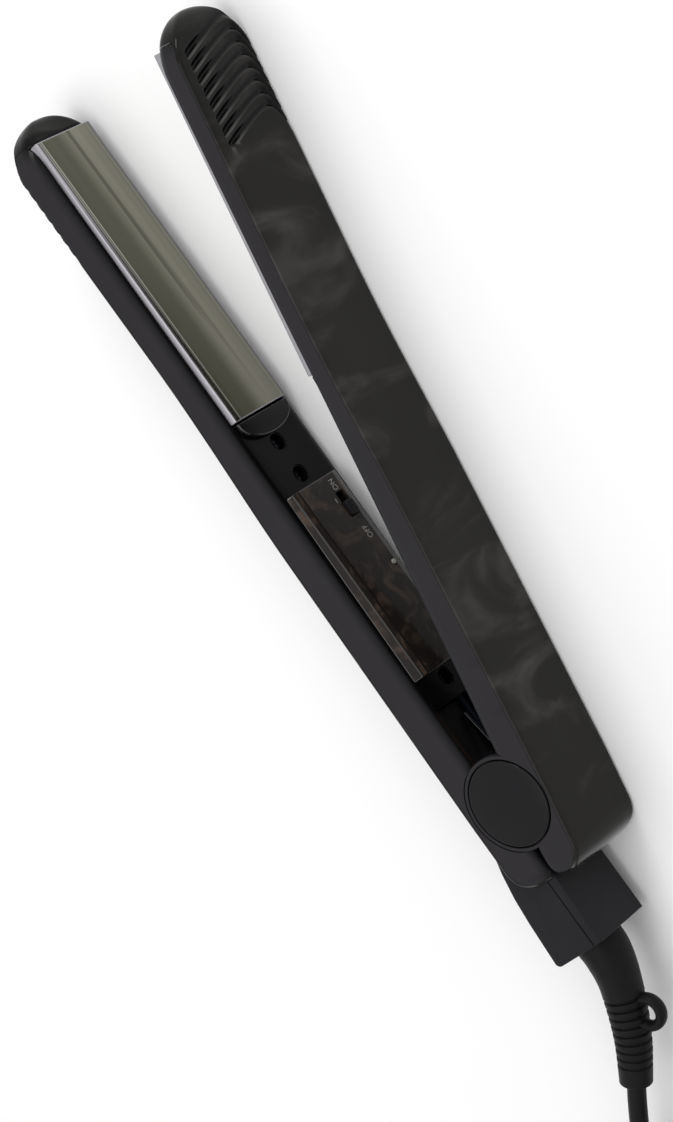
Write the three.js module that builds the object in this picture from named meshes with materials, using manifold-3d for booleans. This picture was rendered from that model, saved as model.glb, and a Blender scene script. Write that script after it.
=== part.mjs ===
// A hair-styling iron lying on its side, open, with its mains cord put away in a coil.
// Two arms meet plate to plate. Arm A carries the control panel, the tail block and the cord.
// Arm B turns on the hinge pin. Millimetres, +Z up, the hinge pin stands upright on the origin.
import * as THREE from 'three';
import { mergeVertices } from 'three/addons/utils/BufferGeometryUtils.js';
import Module from 'manifold-3d';

const wasm = await Module();
wasm.setup();

// ---- Driving sizes ---------------------------------------------------------------------------
const gap = 0.3;               // left between pieces that touch or nearly touch
const wall = 1.8;              // moulded wall of the housings
const bodyWidth = 31;          // across both flat sides of an arm
const openAngle = THREE.MathUtils.degToRad(13.44);
const axisOffset = 1.6;        // hinge axis, on arm B's side of the plane where the plates meet

const plateStart = 128.3;      // hinge axis to the near end of the plates
const plateLength = 95;
const plateWidth = 24.4;
const plateDepth = 5.5;        // height of the plate's folded sides
const plateSheet = 1.2;
const plateEdge = 1.3;         // radius along the plate's long edges
const plateInnerEdge = 0.4;
const noseLength = 8.2;        // the rounded tip past the plate

const heelA = { height: 15.2, taper: 0.02 };    // outer face above the closing plane at the hinge,
const heelB = { height: 16.4, taper: 0.034 };   // and what it loses per millimetre toward the tip
const tipHeight = 10.6;        // outer face above the closing plane, over the plate
const slimStart = 90;          // where the arm starts to slim down toward the plate
const slimEnd = 158;
const faceAtHeel = 3.3;        // inner face below the closing plane, near the hinge
const faceAtTip = 1.7;
const innerCorner = 4;         // radius between the flat side and the inner face
const outerCorner = 1.3;       // radius between the flat side and the outer face
const crown = 0.8;             // rise of the outer face along its middle
const coverSkin = 1.3;         // depth of the glossy cover on the flat side

const rearLength = 24.3;       // hinge axis to the rounded rear of both arms
const rearRadius = 9;
const rearCorner = 5;
const rearInner = 2.2;         // inner edge of the rear, below the closing plane
const rearSlot = 2.2;          // left between the two rear edges while the iron is open

const ringRadius = heelA.height - 1;            // arm B's round cheeks, inside arm A's flat side
const cheekDepth = 2.9;        // thickness of a cheek at the flat side
const capRadius = ringRadius - 1.4;
const capDepth = 1.3;
const capProud = 0.3;
const pinRadius = 3;
const throatEnd = 32;          // the dark pocket in front of the hinge

const tailEnd = 45.5;          // hinge axis to the rear face of the tail block
const tailTop = 4.0;           // its upper face, below the closing plane
const tailDrop = 22.3;         // its lower face at the rear, below the closing plane
const tailWall = 2.2;
const lidDepth = 2.4;
const lidSlope = 1.1;          // how far each long side of the lid leans in
const knuckleRadius = 8;
const footDepth = 3.4;
const springRadius = 6;
const springWire = 1.2;
const springCurls = 5;

const screwSink = 4;           // face of the housing to the screw's seat
const screwHead = 2.3;
const screwShank = 1.1;
const screwHeadDepth = 1.5;
const screwRecess = 0.6;       // width of the cross in the head
const screwHold = 0.6;         // cover left over the end of a screw
const bossRadius = 4.4;
const bossAbove = 1.4;         // boss past the screw's seat
const postRadius = 3;

const panelStart = 41.6;
const panelEnd = 103.2;
const panelTop = 0.2;          // panel face below the closing plane
const panelHalf = 13;          // where its long sides meet the housing's face
const panelSlope = 4.6;        // how far each long side leans in
const panelSheet = 1.2;
const knobPlace = [panelEnd - 11.4, -5.7];
const knobLength = 4.6;
const knobWidth = 3.2;
const knobTravel = 3;
const ledPlace = [panelEnd - 30.6, -7.1];
const ledRadius = 0.8;
const screwPlaces = [panelStart - 3.2, panelEnd + 4.1, plateStart - 10];

const cordDiameter = 5.5;
const cordLength = 2600;       // strain relief to plug
const cordPitch = 6.9;         // turn beside turn in the coil
const cordRise = 6.4;          // layer on layer
const coilMean = 31.8;         // radius at the middle of the turns
const coilLayers = 4;
const tieSheet = 1.2;
const tieWidth = 9;

const halfWidth = bodyWidth / 2;
const plateEnd = plateStart + plateLength;
const tip = plateEnd + noseLength;
const beyond = 90;             // a cut that goes right through reaches this far

// ---- Solid helpers ---------------------------------------------------------------------------
function solid(geometry) {
  const bare = geometry.index ? geometry.clone() : geometry;
  bare.deleteAttribute('normal');
  bare.deleteAttribute('uv');
  const merged = mergeVertices(bare, 1e-4);
  return new wasm.Manifold(new wasm.Mesh({
    numProp: 3,
    vertProperties: Float32Array.from(merged.attributes.position.array),
    triVerts: Uint32Array.from(merged.index.array),
  }));
}

function geometryOf(manifold) {
  const { vertProperties, triVerts } = manifold.getMesh();
  const geometry = new THREE.BufferGeometry();
  geometry.setAttribute('position', new THREE.Float32BufferAttribute(vertProperties, 3));
  geometry.setIndex(new THREE.Uint32BufferAttribute(triVerts, 1));
  geometry.computeVertexNormals();
  return geometry;
}

const join = (first, ...others) => others.reduce((sum, other) => sum.add(other), first);
const cut = (first, ...others) => others.reduce((rest, other) => rest.subtract(other), first);

// A box between two corners.
function box(x0, x1, y0, y1, z0, z1) {
  const geometry = new THREE.BoxGeometry(x1 - x0, y1 - y0, z1 - z0);
  return solid(geometry.translate((x0 + x1) / 2, (y0 + y1) / 2, (z0 + z1) / 2));
}

// A round bar along one axis, from one end to the other.
function bar(axis, [u, v], from, to, radius, sides = 20, endRadius = radius) {
  const geometry = new THREE.CylinderGeometry(endRadius, radius, to - from, sides);
  geometry.translate(0, (from + to) / 2, 0);
  if (axis === 'x') geometry.rotateZ(-Math.PI / 2).translate(0, u, v);
  if (axis === 'y') geometry.translate(u, 0, v);
  if (axis === 'z') geometry.rotateX(Math.PI / 2).translate(u, v, 0);
  return solid(geometry);
}

const outline = (points) => new THREE.Shape(points.map(([u, v]) => new THREE.Vector2(u, v)));

// A side profile of x and y, carried across the arm along z.
function acrossArm(points, z0, z1) {
  const geometry = new THREE.ExtrudeGeometry(outline(points), { depth: z1 - z0, bevelEnabled: false });
  return solid(geometry.translate(0, 0, z0));
}

// A cross-section of z and y, carried along the arm. It is the same on both sides of the middle.
function alongArm(points, x0, x1) {
  const shape = outline(points.map(([z, y]) => [-z, y]));
  const geometry = new THREE.ExtrudeGeometry(shape, { depth: x1 - x0, bevelEnabled: false });
  return solid(geometry.rotateY(Math.PI / 2).translate(x0, 0, 0));
}

// A plan outline of x and z, carried up along y.
function throughArm(points, y0, y1) {
  const shape = outline(points.map(([x, z]) => [x, -z]));
  const geometry = new THREE.ExtrudeGeometry(shape, { depth: y1 - y0, bevelEnabled: false });
  return solid(geometry.rotateX(-Math.PI / 2).translate(0, y0, 0));
}

// Rings of points, joined one to the next and closed by a point at each end.
function skin(rings, firstPoint, lastPoint) {
  const count = rings[0].length;
  const points = [...rings.flat(), firstPoint, lastPoint];
  const faces = [];
  for (let i = 0; i < rings.length - 1; i++) {
    for (let j = 0; j < count; j++) {
      const a = i * count + j;
      const b = i * count + ((j + 1) % count);
      faces.push(a, b, a + count, b, b + count, a + count);
    }
  }
  const last = (rings.length - 1) * count;
  for (let j = 0; j < count; j++) {
    faces.push(points.length - 2, (j + 1) % count, j);
    faces.push(points.length - 1, last + j, last + ((j + 1) % count));
  }
  const geometry = new THREE.BufferGeometry();
  geometry.setAttribute('position', new THREE.Float32BufferAttribute(points.flat(), 3));
  geometry.setIndex(faces);
  geometry.computeVertexNormals();
  return geometry;
}

// A round tube along a list of points, with a radius for each point.
function tube(points, radii, sides) {
  const path = points.map((point) => new THREE.Vector3(...point));
  const tangents = path.map((point, i) => {
    const before = path[Math.max(i - 1, 0)];
    const after = path[Math.min(i + 1, path.length - 1)];
    return after.clone().sub(before).normalize();
  });
  let side = new THREE.Vector3(0, 0, 1).cross(tangents[0]).normalize();
  const rings = path.map((point, i) => {
    side = side.clone().addScaledVector(tangents[i], -side.dot(tangents[i])).normalize();
    const other = tangents[i].clone().cross(side);
    return Array.from({ length: sides }, (_, j) => {
      const angle = ((j + 0.5) / sides) * 2 * Math.PI;
      return point.clone()
        .addScaledVector(side, radii[i] * Math.cos(angle))
        .addScaledVector(other, radii[i] * Math.sin(angle)).toArray();
    });
  });
  return skin(rings, points[0], points.at(-1));
}

// A round tube along a smooth curve through a few chosen points.
function lead(points, diameter, sides, stepLength) {
  const path = new THREE.CatmullRomCurve3(points.map((point) => new THREE.Vector3(...point)));
  const section = new THREE.Shape(Array.from({ length: sides }, (_, j) => {
    const angle = ((j + 0.5) / sides) * 2 * Math.PI;
    return new THREE.Vector2((diameter / 2) * Math.cos(angle), (diameter / 2) * Math.sin(angle));
  }));
  const steps = Math.max(4, Math.round(path.getLength() / stepLength));
  return new THREE.ExtrudeGeometry(section, { steps, extrudePath: path });
}

const paints = {
  grey: { color: 0x363437, roughness: 0.62, metalness: 0 },
  gloss: { color: 0x24231f, roughness: 0.2, metalness: 0 },
  smoke: { color: 0x14100f, roughness: 0.12, metalness: 0 },
  black: { color: 0x201f21, roughness: 0.55, metalness: 0 },
  titanium: { color: 0x6e6c5e, roughness: 0.25, metalness: 1 },
  steel: { color: 0x9a9a9c, roughness: 0.35, metalness: 1 },
  blued: { color: 0x2c2c30, roughness: 0.35, metalness: 1 },
  aluminium: { color: 0xb4b6b8, roughness: 0.4, metalness: 1 },
  ceramic: { color: 0xd8d2c4, roughness: 0.7, metalness: 0 },
  board: { color: 0x7a5a2c, roughness: 0.6, metalness: 0 },
  lens: { color: 0xc9c4ba, roughness: 0.2, metalness: 0 },
  live: { color: 0x2a1c14, roughness: 0.5, metalness: 0 },
  neutral: { color: 0x141d2b, roughness: 0.5, metalness: 0 },
  brass: { color: 0xb59a56, roughness: 0.3, metalness: 1 },
};

function piece(name, shape, paint) {
  const geometry = shape.isBufferGeometry ? shape : geometryOf(shape);
  const mesh = new THREE.Mesh(geometry, new THREE.MeshStandardMaterial(paints[paint]));
  mesh.name = name;
  return mesh;
}

// ---- The arm's outer form --------------------------------------------------------------------
// In an arm's own frame x runs from the hinge to the tip, y out from the closing plane, and z
// across the arm from its middle.
const ease = (from, to, x) => THREE.MathUtils.smoothstep(x, from, to);
const quarter = (t) => 1 - Math.sqrt(Math.max(0, 1 - Math.min(Math.max(t, 0), 1) ** 2));

const outerHeight = (x, heel) => {
  const handle = heel.height - heel.taper * Math.max(x, 0);
  return THREE.MathUtils.lerp(handle, tipHeight, ease(slimStart, slimEnd, x));
};
const innerHeight = (x) => {
  const share = Math.min(Math.max((x - panelStart) / (plateEnd - panelStart), 0), 1);
  const face = THREE.MathUtils.lerp(faceAtHeel, faceAtTip, share);
  return THREE.MathUtils.lerp(rearInner, face, ease(-ringRadius, ringRadius, x));
};

// The closed section of the arm at x, drawn in from the full size by a margin on every side.
function armSection(x, margin, heel) {
  const round = tip - halfWidth;
  const nose = quarter((x - plateEnd) / noseLength);
  const rear = quarter((rearRadius - rearLength - x) / rearRadius);
  const corner = quarter((rearCorner - rearLength - x) / rearCorner);
  const half = halfWidth * (1 - quarter((x - round) / halfWidth)) - rearCorner * corner - margin;
  const middle = (innerHeight(x) + outerHeight(x, heel)) / 2;
  const low = THREE.MathUtils.lerp(innerHeight(x) + margin, middle, nose) + 2 * corner;
  const high = THREE.MathUtils.lerp(outerHeight(x, heel) - margin, middle, nose) - rearRadius * rear;
  const depth = high - low;
  const lowCorner = Math.min(innerCorner - margin, half * 0.8, depth * 0.45);
  const highCorner = Math.min(Math.max(outerCorner - margin, 0.2), half * 0.3, depth * 0.3);
  const rise = margin > 0 ? 0 : crown * (1 - nose) * (1 - rear);
  const arc = (z, y, radius, start, steps) => Array.from({ length: steps + 1 }, (_, i) => {
    const angle = start + (i / steps) * (Math.PI / 2);
    return [x, y + radius * Math.sin(angle), z + radius * Math.cos(angle)];
  });
  const shoulder = half - highCorner;
  const top = [0.66, 0.33, 0, -0.33, -0.66].map((t) => [x, high + rise * (1 - t * t), shoulder * t]);
  return [
    ...arc(half - lowCorner, low + lowCorner, lowCorner, -Math.PI / 2, 4),
    ...arc(half - highCorner, high - highCorner, highCorner, 0, 2),
    ...top,
    ...arc(highCorner - half, high - highCorner, highCorner, Math.PI / 2, 2),
    ...arc(lowCorner - half, low + lowCorner, lowCorner, Math.PI, 4),
  ].reverse();
}

function armForm(from, to, margin, heel, tipSteps, rearSteps) {
  const places = [];
  for (let i = rearSteps; i > 0; i--) {
    places.push(rearRadius - rearLength - rearRadius * Math.sin((i / rearSteps) * (Math.PI / 2) * 0.96));
  }
  places.push(rearRadius - rearLength, ringRadius, slimStart);
  for (let i = 1; i < 7; i++) places.push(slimStart + (slimEnd - slimStart) * (i / 7));
  places.push(slimEnd);
  for (let i = 0; i <= tipSteps; i++) {
    places.push(tip - halfWidth + halfWidth * Math.sin((i / tipSteps) * (Math.PI / 2) * 0.9));
  }
  const inside = places.filter((x) => x > from + 0.5 && x < to - 0.5);
  const rings = [from, ...inside, to].map((x) => armSection(x, margin, heel));
  const centre = (ring) => [ring[0][0], (ring[0][1] + ring[7][1]) / 2, 0];
  return solid(skin(rings, centre(rings[0]), centre(rings.at(-1))));
}

// The side profile that parts the housing from the cover, drawn in by the cover's skin.
function seamProfile(skinDepth, nosePlace, heel) {
  const radius = rearRadius - skinDepth;
  const heelCentre = rearRadius - rearLength;
  const points = [[nosePlace, -20]];
  const noseTop = tipHeight - skinDepth;
  for (let i = 0; i <= 3; i++) {
    const angle = (i / 3) * (Math.PI / 2);
    points.push([nosePlace - 2 + 2 * Math.cos(angle), noseTop - 2 + 2 * Math.sin(angle)]);
  }
  for (let i = 7; i >= 0; i--) {
    const x = slimStart + (slimEnd - slimStart) * (i / 7);
    points.push([x, outerHeight(x, heel) - skinDepth]);
  }
  points.push([0, heel.height - skinDepth]);
  for (let i = 0; i <= 4; i++) {
    const angle = Math.PI / 2 + (i / 4) * (Math.PI / 2);
    points.push([heelCentre + radius * Math.cos(angle), heel.height - rearRadius + radius * Math.sin(angle)]);
  }
  points.push([skinDepth - rearLength, -20]);
  return points;
}

// ---- What both arms share --------------------------------------------------------------------
const cheekInner = halfWidth - cheekDepth;
const noseSeam = plateEnd + 1;
const plateHalf = plateWidth / 2;
const envelope = (heel) => armForm(0.05 - rearLength, tip - 0.4, 0, heel, 6, 5);
const trayBlock = (heel) => acrossArm(seamProfile(coverSkin, noseSeam, heel), -halfWidth - 1, halfWidth + 1);
const lidBlock = (heel) => acrossArm(seamProfile(coverSkin - gap, noseSeam + gap, heel),
  -halfWidth - 1, halfWidth + 1);

const screwSeat = (x) => innerHeight(x) + screwSink;
const bossTop = (x) => screwSeat(x) + bossAbove;
const coverUnder = (x, heel) => outerHeight(x, heel) - coverSkin + gap;
const screwEnd = (x, heel) => coverUnder(x, heel) - screwHold;
const throatBox = box(-beyond, throatEnd, -beyond, beyond, -cheekInner, cheekInner);

// A structural tray: flat sides, round inner corners, bosses for the screws, an opening for the plate.
function armHousing(heel) {
  const floorStart = throatEnd + wall;
  const cavity = armForm(floorStart, plateEnd - wall, wall, heel, 4, 1);
  const round = tip - halfWidth;
  const inner = halfWidth - wall;
  const end = -armSection(plateEnd - wall, wall, heel).reduce((least, point) => Math.min(least, point[2]), 0);
  const mouth = throughArm([
    [floorStart, -inner], [round, -inner], [plateEnd - wall, -end],
    [plateEnd - wall, end], [round, inner], [floorStart, inner],
  ], innerHeight(floorStart) + innerCorner, beyond);
  const bosses = screwPlaces.map((x) => bar('y', [x, 0], innerHeight(x) + 0.5, bossTop(x), bossRadius, 16));
  const bores = screwPlaces.flatMap((x) => [
    bar('y', [x, 0], -beyond, screwSeat(x), screwHead + gap, 16),
    bar('y', [x, 0], -beyond, beyond, screwShank + gap, 12),
  ]);
  const opening = box(plateStart - gap, plateEnd + gap, -beyond, beyond, -plateHalf - gap, plateHalf + gap);
  const tray = cut(envelope(heel).intersect(trayBlock(heel)), cavity, mouth, throatBox);
  return cut(join(tray, ...bosses), ...bores, opening);
}

// A thin crowned cover that closes the tray from outside and wraps round the nose and the rear.
function armCover(heel) {
  const rooted = (x) => coverUnder(x, heel) + coverSkin / 2;
  const posts = screwPlaces.map((x) => bar('y', [x, 0], bossTop(x) + gap, rooted(x), postRadius, 16));
  const pilots = screwPlaces.map((x) => bar('y', [x, 0], -beyond, screwEnd(x, heel), screwShank + gap, 12));
  return cut(join(cut(envelope(heel), lidBlock(heel)), ...posts), ...pilots);
}

// The titanium plate: a flat face with round long edges and folded sides.
function plate() {
  const section = (half, low, high, radius) => {
    const side = [[half, high]];
    for (let i = 0; i <= 3; i++) {
      const angle = (i / 3) * (Math.PI / 2);
      side.push([half - radius + radius * Math.cos(angle), low + radius - radius * Math.sin(angle)]);
    }
    return [...side, ...side.map(([z, y]) => [-z, y]).reverse()];
  };
  const outside = section(plateHalf, 0, plateDepth, plateEdge);
  const inside = section(plateHalf - plateSheet, plateSheet, beyond, plateInnerEdge);
  return cut(alongArm(outside, plateStart, plateEnd), alongArm(inside, plateStart - 1, plateEnd + 1));
}

const heaterMargin = 5;        // bare plate at each end of the heater
const heaterTop = 4.6;
const clampSheet = 1.1;
const heaterHalf = 8;

// A ceramic heating strip, clamped into the plate by a spring-steel bridge.
const heater = () => box(plateStart + heaterMargin, plateEnd - heaterMargin,
  plateSheet + gap, heaterTop, -heaterHalf, heaterHalf);

function heaterClamp() {
  const over = plateDepth + gap;
  const reach = halfWidth - wall - 2 * gap;
  const pressHalf = heaterHalf - 2;
  return alongArm([
    [-reach, over], [-reach, over + clampSheet], [reach, over + clampSheet], [reach, over],
    [pressHalf, over], [pressHalf, heaterTop + gap], [-pressHalf, heaterTop + gap], [-pressHalf, over],
  ], plateStart + heaterMargin, plateEnd - heaterMargin - 2);
}

const shieldLength = 5.6;
const shieldSheet = 1.45;
const shieldLand = 1.6;        // straight part of the shield next to the plate

// A D-shaped heat shield behind the plate.
function plateCap() {
  const straight = plateStart - gap - 0.2;
  const arcStart = plateStart - shieldLand;
  const points = [[straight, 0.6 - plateHalf]];
  for (let i = 0; i <= 8; i++) {
    const angle = (i / 8 - 0.5) * Math.PI;
    points.push([arcStart - shieldLength * Math.cos(angle), (plateHalf - 0.8) * Math.sin(angle)]);
  }
  points.push([straight, plateHalf - 0.6]);
  const top = innerHeight(plateStart) - gap + 0.05;
  return throughArm(points, top - shieldSheet, top);
}

// One screw, its head in the housing and its shank up a post of the cover.
function screw(x, heel) {
  const under = screwSeat(x) - gap;
  const head = bar('y', [x, 0], under - screwHeadDepth, under, screwHead, 16);
  const shank = bar('y', [x, 0], under - 0.1, screwEnd(x, heel) - gap, screwShank, 12);
  const [reach, half, floor] = [screwHead - 0.8, screwRecess / 2, under - screwHeadDepth + 0.6];
  const slot = box(x - reach, x + reach, -beyond, floor, -half, half);
  const cross = box(x - half, x + half, -beyond, floor, -reach, reach);
  return cut(join(head, shank), slot, cross);
}

// ---- Arm A: the panel, the board and the tail ------------------------------------------------
const armA = new THREE.Group();
armA.position.set(0, axisOffset, halfWidth);
const axisA = [0, -axisOffset];

const ringBore = bar('z', axisA, -halfWidth - 1, halfWidth + 1, ringRadius + gap + 0.1, 48);
const coverSlotEnd = -5.4;
const boardLow = 6.6;
const boardSheet = 1.6;
const boardHalf = 10;
const windowHalf = boardHalf - 1.5;
const wireHeight = 8.9;
const wireSide = 6.2;
const wireDiameter = 1.6;
const wayHalf = wireDiameter / 2 + 0.4;             // half of the square way that a wire runs in
const wireWay = (x0, x1, side) => box(x0, x1, wireHeight - wayHalf, wireHeight + wayHalf,
  side * wireSide - wayHalf, side * wireSide + wayHalf);
const panelRim = 3;            // of the housing, under each end of the panel
const railFoot = innerHeight(panelStart) + wall - 0.6;
const railSide = boardHalf - 0.4;
const rails = [-1, 1].map((side) => box(panelStart + panelRim + 2, panelEnd - panelRim,
  railFoot, boardLow - gap, side * railSide - 1, side * railSide + 1));

armA.add(piece('housing_a', cut(
  join(armHousing(heelA), ...rails),
  ringBore,
  box(panelStart + panelRim, panelEnd - panelRim, -beyond, innerHeight(panelStart) + wall + 0.2,
    -windowHalf, windowHalf),
  ...[-1, 1].map((side) => wireWay(throatEnd - 1, throatEnd + wall + 1, side)),
), 'grey'));
armA.add(piece('cover_a', cut(
  armCover(heelA), ringBore, box(-beyond, coverSlotEnd, -beyond, beyond, -cheekInner, cheekInner),
), 'gloss'));
armA.add(piece('plate_a', plate(), 'titanium'));
armA.add(piece('heater_a', heater(), 'ceramic'));
armA.add(piece('heater_clamp_a', heaterClamp(), 'steel'));
armA.add(piece('plate_cap_a', plateCap(), 'black'));
screwPlaces.forEach((x, i) => armA.add(piece(`screw_a_${i + 1}`, screw(x, heelA), 'blued')));

const panelUnder = panelTop + panelSheet;
// The panel's outside, or with a margin the hollow in it, which runs on past its open foot.
function panelForm(margin) {
  const foot = (x) => innerHeight(x) - gap + (margin && panelRim);
  const [start, end] = [panelStart + margin, panelEnd - margin];
  const [top, half] = [panelTop + margin, panelHalf - margin];
  const side = [[start, top], [end, top], [end, foot(panelEnd)], [start, foot(panelStart)]];
  const section = [
    [-half, beyond], [-half, faceAtHeel], [panelSlope - half, top],
    [half - panelSlope, top], [half, faceAtHeel], [half, beyond],
  ];
  return acrossArm(side, -panelHalf, panelHalf).intersect(alongArm(section, 0, plateStart));
}
const knobSlot = box(knobPlace[0] - knobLength / 2 - gap, knobPlace[0] + knobLength / 2 + knobTravel + gap,
  -beyond, panelUnder + 1, knobPlace[1] - knobWidth / 2 - gap, knobPlace[1] + knobWidth / 2 + gap);
armA.add(piece('control_panel', cut(
  panelForm(0), panelForm(panelSheet), knobSlot,
  bar('y', ledPlace, -beyond, panelUnder + 1, ledRadius + gap, 12),
), 'smoke'));

const boardStart = panelStart + 6;
const boardEnd = panelEnd - 4;
const board = box(boardStart, boardEnd, boardLow, boardLow + boardSheet, -boardHalf, boardHalf);
armA.add(piece('circuit_board', board, 'board'));
const switchTop = panelUnder + gap + 1.4;
const switchSide = 2.3;        // half the switch's width
armA.add(piece('slide_switch', box(
  knobPlace[0] - knobLength / 2 - 2.2, boardEnd - 0.2, switchTop, boardLow - gap,
  knobPlace[1] + 0.1 - switchSide, knobPlace[1] + 0.1 + switchSide,
), 'steel'));
armA.add(piece('power_indicator', bar('y', ledPlace, panelTop - 0.4, boardLow - gap, ledRadius, 12), 'lens'));
const fuseRadius = 1.5;
const fuseLength = 11;
const fuseStart = boardStart + 8;
armA.add(piece('thermal_fuse', bar('x', [boardLow - gap - fuseRadius, 3], fuseStart, fuseStart + fuseLength,
  fuseRadius, 12), 'aluminium'));

const knobTop = -1;            // past the closing plane, into the gap between the arms
const stemHalf = 1;
const knob = join(
  box(knobPlace[0] - knobLength / 2, knobPlace[0] + knobLength / 2, knobTop, panelTop + 0.9,
    knobPlace[1] - knobWidth / 2, knobPlace[1] + knobWidth / 2),
  box(knobPlace[0] - stemHalf, knobPlace[0] + stemHalf, panelTop, switchTop - gap,
    knobPlace[1] - stemHalf, knobPlace[1] + stemHalf),
);
armA.add(piece('switch_knob', knob, 'black'));

// The tail block: a knuckle round the hinge pin, a foot under the cover, and a box for the cord.
const tailHalf = cheekInner - gap;
const blockTop = tailTop + lidDepth + gap;
const lidEnd = -knuckleRadius - 2.9;
const footTop = (x) => coverUnder(x, heelA) - gap;
const tailProfile = [
  [throatEnd - gap, footTop(throatEnd) - footDepth], [throatEnd - gap, footTop(throatEnd)],
  [coverSlotEnd - gap, footTop(0)], [coverSlotEnd - gap, heelA.height + crown],
  [-15.2, 18.9], [-22.8, 20.5], [-30.8, 21.4], [-tailEnd, tailDrop],
  [-tailEnd, blockTop], [lidEnd + gap, blockTop], [lidEnd + gap, tailTop],
  [-knuckleRadius, -axisOffset], [knuckleRadius, -axisOffset], [14, footTop(14) - footDepth],
];
const reliefHeight = 14.6;
const reliefStub = 5;
const tailHollow = acrossArm([
  [tailWall - tailEnd, 0], [-14, 0], [-14, 15.6], [-24, 18], [tailWall - tailEnd, tailDrop - tailWall],
], -tailHalf + tailWall, tailHalf - tailWall);
const curlPitch = springWire + 0.5;
const spoolHalf = (springCurls * curlPitch) / 2 + 0.6;
const coreRadius = springRadius - springWire / 2 - 0.8;
const spoolCore = bar('z', axisA, -spoolHalf - 1, spoolHalf + 1, coreRadius, 24);
const spool = cut(
  bar('z', axisA, -spoolHalf, spoolHalf, springRadius + springWire / 2 + 2 * gap, 32), spoolCore,
);
const legRoom = 20;            // how far the ways for the spring's legs run
const springSlot = join(
  box(0, legRoom, -axisOffset, footTop(0) - footDepth - springWire, -spoolHalf, spoolHalf),
  box(0, legRoom, -axisOffset - knuckleRadius - 1, -axisOffset, spoolHalf - 2 * springWire, spoolHalf),
);
const tailSolid = join(
  acrossArm(tailProfile, -tailHalf, tailHalf),
  bar('z', axisA, -tailHalf, tailHalf, knuckleRadius, 36),
);
armA.add(piece('tail_block', cut(
  tailSolid, tailHollow, spool,
  cut(springSlot, spoolCore),
  wireWay(-15, throatEnd, -1), wireWay(-15, throatEnd, 1),
  bar('z', axisA, -tailHalf - 1, tailHalf + 1, pinRadius + gap, 20),
  bar('x', [reliefHeight, 0], -tailEnd - 1, -tailEnd + tailWall + 1, reliefStub + gap, 20),
), 'black'));
armA.add(piece('tail_lid', alongArm([
  [-tailHalf, tailTop + lidDepth], [lidSlope - tailHalf, tailTop], [tailHalf - lidSlope, tailTop],
  [tailHalf, tailTop + lidDepth],
], -tailEnd, lidEnd), 'black'));

const cheekLeft = cheekDepth - capDepth - gap;      // what the cap's recess leaves of a cheek
const pinHalf = cheekInner + cheekLeft;
armA.add(piece('hinge_pin', bar('z', axisA, -pinHalf, pinHalf, pinRadius, 20), 'steel'));
const capFoot = pinHalf + gap;
armA.add(piece('hinge_cap_near', bar('z', axisA, capFoot, halfWidth + capProud, capRadius, 40), 'black'));
armA.add(piece('hinge_cap_far', bar('z', axisA, -halfWidth, -capFoot, capRadius, 40), 'black'));

// The torsion spring: curls round the knuckle's core, one leg on arm A's foot, one on arm B's rib.
const ribStart = 25;           // arm B's rib, from the hinge axis
const ribHeight = 3.9;
const ribWidth = 5;
const ribDepth = 2.6;
const legEnd = 27;
const legRise = springWire / 2 + gap;
const footLeg = footTop(legEnd) - footDepth - legRise;
const ribReach = (ribHeight - axisOffset) * Math.cos(openAngle) + axisOffset;
const ribLeg = legRise - ribReach - ribStart * Math.sin(openAngle);
const springSpan = 2 * (spoolHalf - 1);
const footLean = Math.atan2(footLeg + axisOffset - springRadius, legEnd);
const ribLean = Math.atan2(ribLeg + axisOffset + springRadius, legEnd);
const firstCurl = Math.PI / 2 + footLean;
const curled = (springCurls - 0.5) * 2 * Math.PI - footLean + ribLean;
const curlSteps = springCurls * 8;
const springPoints = [[legEnd, footLeg, -springSpan / 2]];
for (let i = 0; i <= curlSteps; i++) {
  const angle = firstCurl + (i / curlSteps) * curled;
  springPoints.push([springRadius * Math.cos(angle), springRadius * Math.sin(angle) - axisOffset,
    (i / curlSteps - 0.5) * springSpan]);
}
springPoints.push([legEnd, ribLeg, springSpan / 2]);
armA.add(piece('torsion_spring', tube(springPoints, springPoints.map(() => springWire / 2), 5), 'blued'));

// The strain relief: a stub through the tail's wall, a smooth bent neck, then ribs that taper.
const reliefPath = new THREE.CatmullRomCurve3([
  [-tailEnd + tailWall + 5, reliefHeight, 0], [-tailEnd - gap, reliefHeight, 0], [-49, reliefHeight, 0],
  [-56, 16.2, 0], [-64, 19.8, 0], [-74, 25.7, 0], [-82, 31.9, 0], [-85.3, 34.6, 0],
].map((point) => new THREE.Vector3(...point)), false, 'centripetal');
const reliefLength = reliefPath.getLength();
const stubLength = tailWall + 5 + gap;
const neckLength = 17;
const neckRadius = [7.3, 6.1];          // at the tail block, and where the ribs start
const ribRadius = 4.8;                  // at the plain collar after the last rib
const ribCount = 9;
const ribStep = 2.6;
const ribsLength = 27;
function reliefRadius(s) {
  if (s < stubLength) return reliefStub;
  const neck = (s - stubLength) / neckLength;
  if (neck < 1) return THREE.MathUtils.lerp(...neckRadius, ease(0, 1, neck));
  const ribs = Math.min((s - stubLength - neckLength) / ribsLength, 1);
  return THREE.MathUtils.lerp(neckRadius[1], ribRadius, ribs);
}
const reliefStations = [[0, 1], [stubLength - 0.01, 1], [stubLength, 1]];
for (let i = 1; i <= 5; i++) reliefStations.push([stubLength + (neckLength * i) / 5, 1]);
for (let i = 0; i < ribCount; i++) {
  const start = stubLength + neckLength + i * ribStep;
  reliefStations.push([start + 0.22 * ribStep, 0.87], [start + 0.38 * ribStep, 0.87]);
  reliefStations.push([start + 0.52 * ribStep, 1], [start + 1.06 * ribStep, 1]);
}
reliefStations.push([reliefLength - 0.6, 0.98], [reliefLength, 0.86]);
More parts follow.
